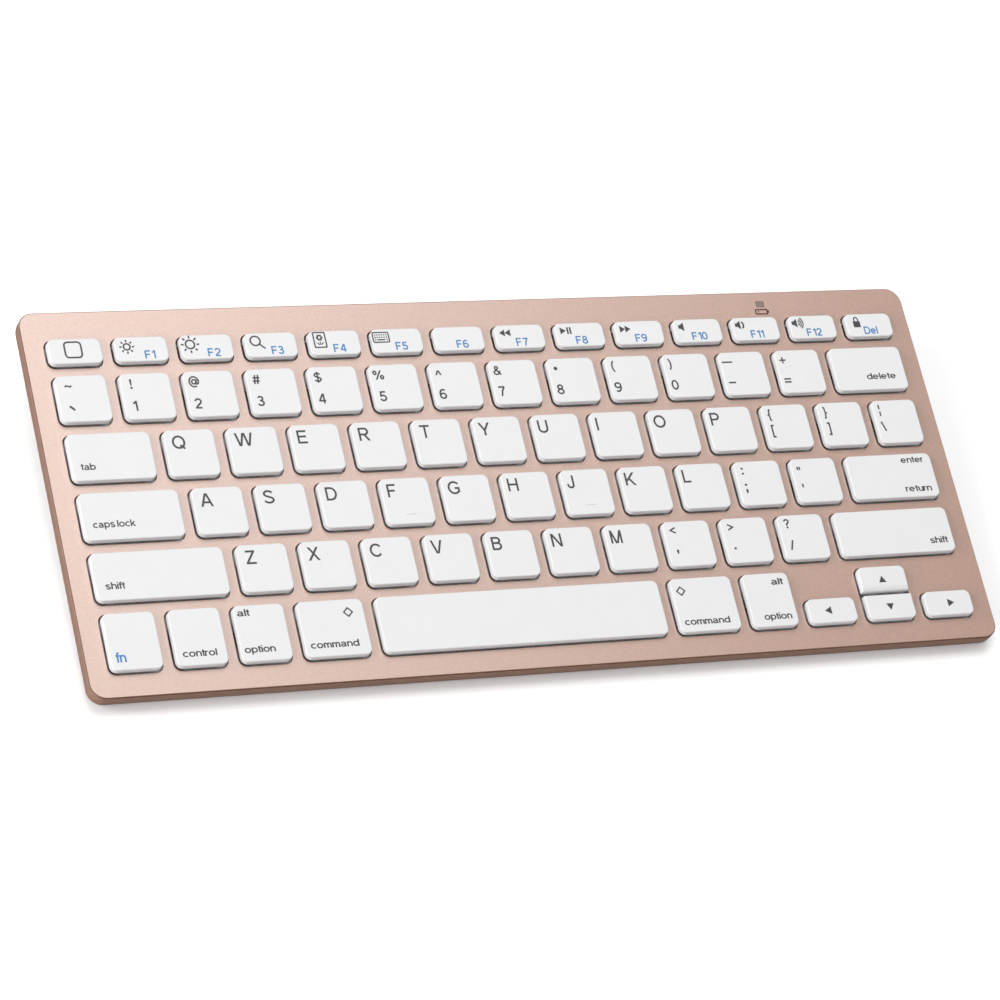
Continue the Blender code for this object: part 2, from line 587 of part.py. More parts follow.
def main():
    clear_scene()
    shop = Workshop()
    rose = material("rose_gold_paint", (0.74, 0.50, 0.41), 0.38, 0.6)
    white = material("white_keycap_plastic", (0.87, 0.87, 0.88), 0.45)
    base = material("cover_plastic", (0.80, 0.78, 0.77), 0.5)
    rubber = material("foot_rubber", (0.09, 0.09, 0.09), 0.85)
    silicone = material("dome_silicone", (0.75, 0.78, 0.80), 0.6)
    film = material("membrane_film", (0.65, 0.75, 0.62), 0.3)
    steel = material("plate_steel", (0.62, 0.63, 0.65), 0.35, 1.0)
    green = material("board_green", (0.03, 0.20, 0.09), 0.5)
    cell = material("cell_wrap", (0.12, 0.12, 0.13), 0.4)
    dark = material("control_plastic", (0.16, 0.16, 0.17), 0.5)
    clear = material("lens_plastic", (0.50, 0.47, 0.45), 0.25)

    keys = key_layout()
    make_top_case(shop, keys, rose)
    make_bottom_cover(shop, base)
    make_battery_door(shop, base)
    make_cells(shop, cell)
    make_battery_spring(shop, steel)
    make_sheets(shop, keys, silicone, film, steel)
    make_controller_board(shop, green)
    make_controls(shop, dark, clear)
    make_feet(shop, rubber)
    make_keycaps(shop, keys, white)


main()
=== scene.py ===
"""Looks for the compact wireless keyboard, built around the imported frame.

Every piece is modelled in the deck frame: +X to the typist's right, +Y to the rear and z = 0 on the deck's
top face. The matrix DECK then lays it on the tilted case. Sizes are in metres.
"""

import json
import math

import bmesh
import bpy
from mathutils import Euler, Matrix, Vector


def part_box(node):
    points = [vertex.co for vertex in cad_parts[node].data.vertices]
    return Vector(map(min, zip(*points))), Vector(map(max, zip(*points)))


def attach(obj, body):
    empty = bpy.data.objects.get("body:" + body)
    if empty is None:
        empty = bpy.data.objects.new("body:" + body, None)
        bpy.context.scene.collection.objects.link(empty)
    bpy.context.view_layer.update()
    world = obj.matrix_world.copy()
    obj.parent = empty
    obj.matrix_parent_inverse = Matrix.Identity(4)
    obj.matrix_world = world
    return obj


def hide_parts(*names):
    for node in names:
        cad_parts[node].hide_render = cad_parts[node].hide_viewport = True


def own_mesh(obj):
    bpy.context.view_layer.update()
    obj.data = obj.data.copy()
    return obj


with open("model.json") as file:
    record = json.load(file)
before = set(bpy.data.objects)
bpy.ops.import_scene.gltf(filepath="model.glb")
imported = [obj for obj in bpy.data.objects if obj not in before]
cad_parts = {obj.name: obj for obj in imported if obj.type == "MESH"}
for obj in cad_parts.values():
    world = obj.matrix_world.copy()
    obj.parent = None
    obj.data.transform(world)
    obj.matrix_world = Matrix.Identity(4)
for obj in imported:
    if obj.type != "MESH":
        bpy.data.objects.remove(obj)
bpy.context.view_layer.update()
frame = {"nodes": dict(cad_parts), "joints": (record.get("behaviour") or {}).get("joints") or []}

MM = 0.001

# Camera, in the deck frame
CAMERA_AT = Vector((-490.9, -453.8, 967.3)) * MM
CAMERA_TURN = Euler((math.radians(27.944), math.radians(-20.615), math.radians(-13.549)))
CAMERA_LENS = 145.8
FLOOR_SIZE = 6.0


# The deck frame and the keys, read from the CAD model

def deck_frame():
    """The deck's matrix, and the case's width, depth and rim height, from the case's box and the tilt."""
    down = Vector(next(j["axis"] for j in frame["joints"] if j["name"] == "key_space_press"))
    tilt = math.atan2(down.y, -down.z)
    low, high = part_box("top_case")
    width, span, rise = high - low
    cos, sin = math.cos(tilt), math.sin(tilt)
    depth = (span * cos - rise * sin) / (cos**2 - sin**2)
    rim = (rise * cos - span * sin) / (cos**2 - sin**2)
    front_edge = Vector(((low.x + high.x) / 2, low.y, low.z + rim * cos))
    centre = front_edge + Vector((0, cos, sin)) * depth / 2
    return Matrix.Translation(centre) @ Matrix.Rotation(tilt, 4, "X"), width, depth, rim


DECK, WIDTH, DEPTH, RIM = deck_frame()
TO_DECK = DECK.inverted()


def deck_box(node):
    """A CAD node's lowest and highest corners in the deck frame."""
    points = [TO_DECK @ v.co for v in frame["nodes"][node].data.vertices]
    low = Vector(min(p[i] for p in points) for i in range(3))
    high = Vector(max(p[i] for p in points) for i in range(3))
    return low, high


def cap_tops(node):
    """The flat tops of a key node's caps, from left to right, as (low corner, high corner)."""
    bm = bmesh.new()
    bm.from_mesh(frame["nodes"][node].data)
    bm.transform(TO_DECK)
    bmesh.ops.remove_doubles(bm, verts=bm.verts, dist=0.001 * MM)
    level = max(v.co.z for v in bm.verts) - 0.01 * MM
    waiting = {f for f in bm.faces if all(v.co.z > level for v in f.verts)}
    tops = []
    while waiting:
        island, edge = [], [waiting.pop()]
        while edge:
            face = edge.pop()
            island.append(face)
            near = {f for e in face.edges for f in e.link_faces} & waiting
            waiting -= near
            edge += near
        xs = [v.co.x for f in island for v in f.verts]
        ys = [v.co.y for f in island for v in f.verts]
        tops.append((Vector((min(xs), min(ys))), Vector((max(xs), max(ys)))))
    bm.free()
    return sorted(tops, key=lambda t: t[0].x)


DIGITS = list("1234567890")
STRIPS = {
    "function_key_strip": ["home", *(f"f{i}" for i in range(1, 13)), "lock"],
    "number_key_strip": ["grave", *DIGITS, "minus", "equal", "delete"],
    "bracket_key_strip": ["left_bracket", "right_bracket", "backslash"],
    "quote_key_pair": ["semicolon", "quote"],
    "punctuation_key_strip": ["comma", "period", "slash"],
    "modifier_key_strip": ["fn", "control", "left_option"],
    "right_modifier_key_pair": ["right_command", "right_option"],
}


class Key:
    """One keycap: its CAD node and body, and its outline on the deck."""

    def __init__(self, name, node, top, edge):
        self.name, self.node = name, node
        low, high = top
        self.x, self.y = (low + high) / 2
        self.width, self.depth = high - low + Vector((2 * edge, 2 * edge))
        self.left, self.right = self.x - self.width / 2, self.x + self.width / 2


def read_keys():
    low, high = deck_box("key_q")
    top_low, top_high = cap_tops("key_q")[0]
    edge = ((high.x - low.x) - (top_high.x - top_low.x)) / 2
    keys = {}
    for node in frame["nodes"]:
        names = STRIPS.get(node) or ([node[len("key_"):]] if node.startswith("key_") else [])
        if names:
            for name, top in zip(names, cap_tops(node), strict=True):
                keys[name] = Key(name, node, top, edge)
    return keys, low.z, high.z


KEYS, SKIRT_Z, KEY_TOP = read_keys()


# Mesh helpers

SMALLEST_CORNER = 0.05 * MM
SHARP_ANGLE = math.radians(30)


def rounded_rectangle(x, y, width, depth, radii, segments=8):
    """Outline points, anticlockwise from the front right corner. radii is one radius, or one per corner."""
    if not isinstance(radii, (tuple, list)):
        radii = (radii,) * 4
    points = []
    for quarter, (sx, sy) in enumerate(((1, -1), (1, 1), (-1, 1), (-1, -1))):
        radius = max(radii[quarter], 0.001 * MM)
        cx, cy = x + sx * (width / 2 - radius), y + sy * (depth / 2 - radius)
        for step in range(segments + 1):
            angle = (quarter - 1 + step / segments) * math.pi / 2
            points.append((cx + radius * math.cos(angle), cy + radius * math.sin(angle)))
    return points


def circle(x, y, radius, steps):
    return [(x + radius * math.cos(a), y + radius * math.sin(a))
            for a in (2 * math.pi * i / steps for i in range(steps))]


def loft(bm, box, radii, profile, segments=8):
    """A closed solid of rounded rectangles, stacked by a profile of (inset, z), with both ends capped."""
    x, y, width, depth = box
    if not isinstance(radii, tuple):
        radii = (radii,) * 4
    rings = []
    for inset, z in profile:
        corner = [max(radius - inset, SMALLEST_CORNER) for radius in radii]
        outline = rounded_rectangle(x, y, width - 2 * inset, depth - 2 * inset, corner, segments)
        rings.append([bm.verts.new((px, py, z)) for px, py in outline])
    made = [bm.faces.new(rings[0]), bm.faces.new(list(reversed(rings[-1])))]
    for lower, upper in zip(rings, rings[1:]):
        for i in range(len(lower)):
            j = (i + 1) % len(lower)
            made.append(bm.faces.new((lower[j], lower[i], upper[i], upper[j])))
    bmesh.ops.recalc_face_normals(bm, faces=made)


def to_mesh(bm):
    mesh = bpy.data.meshes.new("piece")
    bm.to_mesh(mesh)
    bm.free()
    return mesh


def lofted(box, radii, profile, segments=8):
    bm = bmesh.new()
    loft(bm, box, radii, profile, segments)
    return to_mesh(bm)


def edge_arc(radius, high, steps=4, inset=0.0):
    """Profile points that round a top edge, from the wall to the flat."""
    angles = [math.pi / 2 * i / steps for i in range(steps + 1)]
    return [(inset + radius * (1 - math.cos(a)), high - radius * (1 - math.sin(a))) for a in angles]


def place(name, mesh, finish, body="case", replaces=()):
    """Lays a deck-frame mesh on the keyboard and declares what it rides on and stands for."""
    mesh.name = name
    mesh.transform(DECK)
    mesh.shade_smooth()
    mesh.set_sharp_from_angle(angle=SHARP_ANGLE)
    mesh.materials.clear()
    mesh.materials.append(finish)
    obj = bpy.data.objects.new(name, mesh)
    bpy.context.scene.collection.objects.link(obj)
    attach(obj, body)
    if replaces:
        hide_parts(*replaces)
    return obj


def even_shading(obj):
    """Keeps broad flat faces flat beside their rounded edges."""
    modifier = obj.modifiers.new("even_shading", "WEIGHTED_NORMAL")
    modifier.keep_sharp = True


def cut(mesh, tools):
    """The mesh with boolean tools applied; tools is a list of (operation, mesh)."""
    obj = bpy.data.objects.new("cut", mesh)
    bpy.context.scene.collection.objects.link(obj)
    helpers = []
    for operation, tool in tools:
        helper = bpy.data.objects.new("tool", tool)
        bpy.context.scene.collection.objects.link(helper)
        helpers.append(helper)
        modifier = obj.modifiers.new("cut", "BOOLEAN")
        modifier.operation = operation
        modifier.object = helper
    result = bpy.data.meshes.new_from_object(obj.evaluated_get(bpy.context.evaluated_depsgraph_get()))
    for used in (obj, *helpers):
        bpy.data.objects.remove(used)
    return result


# Materials

RAMP_STOPS = (0.3, 0.7)  # noise values that take a colour ramp's two ends


class Nodes:
    """A material's node tree, with short ways to add and join nodes."""

    def __init__(self, name, colour, roughness, metallic=0.0):
        self.material = bpy.data.materials.new(name)
        self.material.use_nodes = True
        self.tree = self.material.node_tree
        self.shader = self.tree.nodes["Principled BSDF"]
        self.set(self.shader, "Base Color", (*colour, 1))
        self.set(self.shader, "Roughness", roughness)
        self.set(self.shader, "Metallic", metallic)
        self.coordinates = self.tree.nodes.new("ShaderNodeTexCoord").outputs["Object"]

    def set(self, node, socket, value):
        node.inputs[socket].default_value = value

    def join(self, output, node, socket):
        self.tree.links.new(output, node.inputs[socket])

    def noise(self, size, detail=2.0, stretch=(1, 1, 1)):
        """Noise whose grains are about size across, stretched along the deck's axes."""
        mapping = self.tree.nodes.new("ShaderNodeMapping")
        self.set(mapping, "Scale", stretch)
        self.join(self.coordinates, mapping, "Vector")
        noise = self.tree.nodes.new("ShaderNodeTexNoise")
        self.join(mapping.outputs["Vector"], noise, "Vector")
        self.set(noise, "Scale", 1 / size)
        self.set(noise, "Detail", detail)
        return noise.outputs["Fac"]

    def ramp(self, value, low, high):
        """value turned into a colour between low and high."""
        ramp = self.tree.nodes.new("ShaderNodeValToRGB")
        self.join(value, ramp, "Fac")
        for stop, position, colour in zip(ramp.color_ramp.elements, RAMP_STOPS, (low, high)):
            stop.position = position
            stop.color = (*colour, 1)
        return ramp.outputs["Color"]

    def spread(self, value, low, high):
        """value, from 0 to 1, drives the roughness between low and high."""
        node = self.tree.nodes.new("ShaderNodeMapRange")
        self.join(value, node, "Value")
        self.set(node, "To Min", low)
        self.set(node, "To Max", high)
        self.join(node.outputs["Result"], self.shader, "Roughness")

    def colour(self, value, low, high):
        self.join(self.ramp(value, low, high), self.shader, "Base Color")

    def bump(self, height, depth, strength=1.0):
        node = self.tree.nodes.new("ShaderNodeBump")
        self.set(node, "Strength", strength)
        self.set(node, "Distance", depth)
        self.join(height, node, "Height")
        self.join(node.outputs["Normal"], self.shader, "Normal")


def tint(colour, factor):
    return tuple(min(1.0, c * factor) for c in colour)


def rose_gold():
    """Satin metal paint: a fine sparkle of light and dark grains over rose gold."""
    base = (0.395, 0.208, 0.139)
    made = Nodes("rose_gold_satin", base, 0.45, 0.2)
    made.colour(made.noise(0.45 * MM, 3.0), tint(base, 0.84), tint(base, 1.16))
    made.spread(made.noise(1.0 * MM, 2.0), 0.42, 0.50)
    made.bump(made.noise(0.4 * MM, 2.0), 0.02 * MM, 0.6)
    made.set(made.shader, "Coat Weight", 1.0)
    made.set(made.shader, "Coat IOR", 2.6)
    made.set(made.shader, "Coat Roughness", 0.45)
    return made.material


def key_plastic():
    base = (0.635, 0.635, 0.64)
    made = Nodes("keycap_white", base, 0.42)
    made.colour(made.noise(6 * MM, 1.0), tint(base, 0.985), base)
    made.spread(made.noise(0.8 * MM), 0.38, 0.46)
    made.bump(made.noise(0.15 * MM, 2.0), 0.006 * MM, 0.4)
    made.set(made.shader, "Specular IOR Level", 0.15)
    return made.material


def ink(name, colour):
    made = Nodes(name, colour, 0.55)
    made.colour(made.noise(0.12 * MM), tint(colour, 0.85), tint(colour, 1.1))
    return made.material


def moulded(name, colour, roughness, grain=0.35 * MM, depth=0.03 * MM):
    """A moulded plastic or rubber with a spark-eroded texture."""
    made = Nodes(name, colour, roughness)
    made.colour(made.noise(4 * MM, 2.0), tint(colour, 0.95), tint(colour, 1.03))
    made.spread(made.noise(grain * 2), roughness - 0.05, roughness + 0.07)
    made.bump(made.noise(grain, 3.0), depth, 0.6)
    return made.material


def metal(name, colour, roughness, stretch=(1, 1, 1)):
    made = Nodes(name, colour, roughness, 1.0)
    brushed = made.noise(0.4 * MM, 3.0, stretch)
    made.colour(brushed, tint(colour, 0.88), tint(colour, 1.08))
    made.spread(brushed, roughness - 0.06, roughness + 0.1)
    made.bump(brushed, 0.01 * MM, 0.4)
    return made.material


# The keys

CAP_CORNER = 2.0 * MM
CAP_EDGE = 0.36 * MM
CAP_DRAFT = 0.12 * MM
CAP_WALL = 1.0 * MM
CAP_FRAME_INSET = 1.7 * MM
SHELL_LOW = 0.35 * MM  # the shell's lower edge, over the deck
CARRIER_WIDTH, CARRIER_THICKNESS, CARRIER_REACH = 3.0 * MM, 0.45 * MM, 2.2 * MM
PAIR_CORNER = 0.35 * MM  # where the up and down arrows meet
ROLL_REACH, ROLL_DROP, ROLL_STEPS = 2.0 * MM, 0.75 * MM, 5


def cap_corners(name):
    """Corner radii: front right, rear right, rear left, front left."""
    if name == "up_arrow":
        return (PAIR_CORNER, CAP_CORNER, CAP_CORNER, PAIR_CORNER)
    if name == "down_arrow":
        return (CAP_CORNER, PAIR_CORNER, PAIR_CORNER, CAP_CORNER)
    return (CAP_CORNER,) * 4


def make_cap(key, finish):
    """A keycap whose rounded shell stops just above the deck, with a hollow frame for its scissor inside."""
    roof = KEY_TOP - CAP_WALL
    frame_outer, frame_inner = CAP_FRAME_INSET, CAP_FRAME_INSET + CAP_WALL
    frame_rings = [(frame_inner, roof), (frame_inner, SKIRT_Z), (frame_outer, SKIRT_Z), (frame_outer, roof)]
    shell_rings = [(CAP_WALL, roof), (CAP_WALL, SHELL_LOW), (0, SHELL_LOW)]
    profile = frame_rings + shell_rings + edge_arc(CAP_EDGE, KEY_TOP, 5, CAP_DRAFT)
    bm = bmesh.new()
    loft(bm, (key.x, key.y, key.width, key.depth), cap_corners(key.name), profile)
    if key.name == "up_arrow":
        roll_front_edge(bm, key)
    even_shading(place(f"cap_{key.name}", to_mesh(bm), finish, key.node, (key.node,)))


def make_carriers(finish):
    """The bridges, hidden in the deck's openings, that join the caps of each strip."""
    for node, names in STRIPS.items():
        bm = bmesh.new()
        for left, right in zip(names, names[1:]):
            start, end = KEYS[left].right - CARRIER_REACH, KEYS[right].left + CARRIER_REACH
            box = ((start + end) / 2, KEYS[left].y, end - start, CARRIER_WIDTH)
            loft(bm, box, 0.3 * MM, [(0, SKIRT_Z + 0.05 * MM), (0, SKIRT_Z + CARRIER_THICKNESS)], 2)
        place(f"carrier_{node}", to_mesh(bm), finish, node, (node,))


def top_faces(bm):
    return [f for f in bm.faces if all(v.co.z > KEY_TOP - 0.001 * MM for v in f.verts)]


def roll_front_edge(bm, key):
    """The up arrow's front edge rolls down towards the down arrow."""
    front = key.y - key.depth / 2
    top = top_faces(bm)
    for step in range(ROLL_STEPS):
        plane = front + ROLL_REACH * (step + 1) / ROLL_STEPS
        geometry = [g for f in top if f.is_valid for g in (f, *f.edges, *f.verts)]
        bmesh.ops.bisect_plane(bm, geom=list(set(geometry)), plane_co=(0, plane, 0), plane_no=(0, 1, 0))
        top = top_faces(bm)
    for vert in bm.verts:
        near = 1 - (vert.co.y - front) / ROLL_REACH
        if near > 0 and vert.co.z > KEY_TOP - 1.5 * CAP_EDGE:
            vert.co.z -= ROLL_DROP * near**2


# Legends: flat ink strokes on the caps

INK_LOW, INK_HIGH = KEY_TOP - 0.01 * MM, KEY_TOP + 0.02 * MM
INK_STEP = 0.001 * MM  # overlapping strokes end at slightly different heights
LETTER_HEIGHT, DIGIT_HEIGHT, SYMBOL_HEIGHT = 4.15 * MM, 3.2 * MM, 2.95 * MM
WORD_HEIGHT, LABEL_HEIGHT, FN_HEIGHT = 2.1 * MM, 2.55 * MM, 3.0 * MM
LETTER_WEIGHT, WORD_WEIGHT, LABEL_WEIGHT = 0.148, 0.165, 0.175  # stroke width over the letter's height
LETTER_GAP, WORD_SPACE = 0.21, 0.42
TUCKED = {"t": 0.10, "f": 0.10, "r": 0.05}  # letters whose arms reach over their neighbours
LEGEND_DRIFT = 0.0055  # the print is a little narrower than the key grid
LETTER_LEFT, LETTER_BASE = 2.05 * MM, 1.3 * MM  # from the key's left side and its middle
SIGN_COLUMN = -5.0 * MM
LABEL_BASE = -3.1 * MM
LABEL_STEP, LEAST_LABEL_STEP, LABEL_DRIFT = 0.5 * MM, 0.1 * MM, 0.016
FN_LEFT, FN_BASE = 1.8 * MM, -6.2 * MM


def bend(x, y, width, height, start, end):
    """Points along an ellipse's arc, from one angle in degrees to another."""
    steps = max(3, round(abs(end - start) / 18))
    angles = [math.radians(start + (end - start) * i / steps) for i in range(steps + 1)]
    return [(x + width * math.cos(a), y + height * math.sin(a)) for a in angles]


def line(*points):
    return "line", points


def loop(x, y, width, height):
    return "loop", bend(x, y, width, height, 0, 360)[:-1]


def slant(x0, y0, x1, y1):
    """A slanted stroke with level ends."""
    return "slant", ((x0, y0), (x1, y1))


def patch(*points):
    return "patch", points


def block(x, y, width, height, radius=0.01):
    return "patch", rounded_rectangle(x, y, width, height, radius, 3)


def mirrored(parts, width):
    return [(kind, [(width - x, y) for x, y in points]) for kind, points in parts]


LOW, HIGH, SMALL = 0.065, 0.935, 0.665  # the middles of a letter's bottom, top and small-letter bars
STEM = line((LOW, 0), (LOW, 1))
SHORT_STEM = line((LOW, 0), (LOW, 0.73))
DOT = block(0.1, 0.1, 0.23, 0.22, 0.05)
UPPER_DOT = block(0.1, 0.66, 0.23, 0.22, 0.05)
S_CURVE = line(*bend(0.395, 0.735, 0.29, 0.20, 15, 235), *bend(0.405, 0.27, 0.32, 0.205, 55, -168))
OPEN_BRACKET = [line((0.32, 0.98), (0.08, 0.98), (0.08, -0.2), (0.32, -0.2))]
OPEN_BRACE = [line((0.38, 0.99), (0.24, 0.96), (0.20, 0.86), (0.20, 0.50), (0.06, 0.38), (0.20, 0.26),
                   (0.20, -0.10), (0.24, -0.20), (0.38, -0.23))]
OPEN_PARENTHESIS = [line(*bend(0.62, 0.38, 0.54, 0.78, 128, 232))]
LESS_THAN = [line((0.64, 0.80), (0.08, 0.5), (0.64, 0.20))]
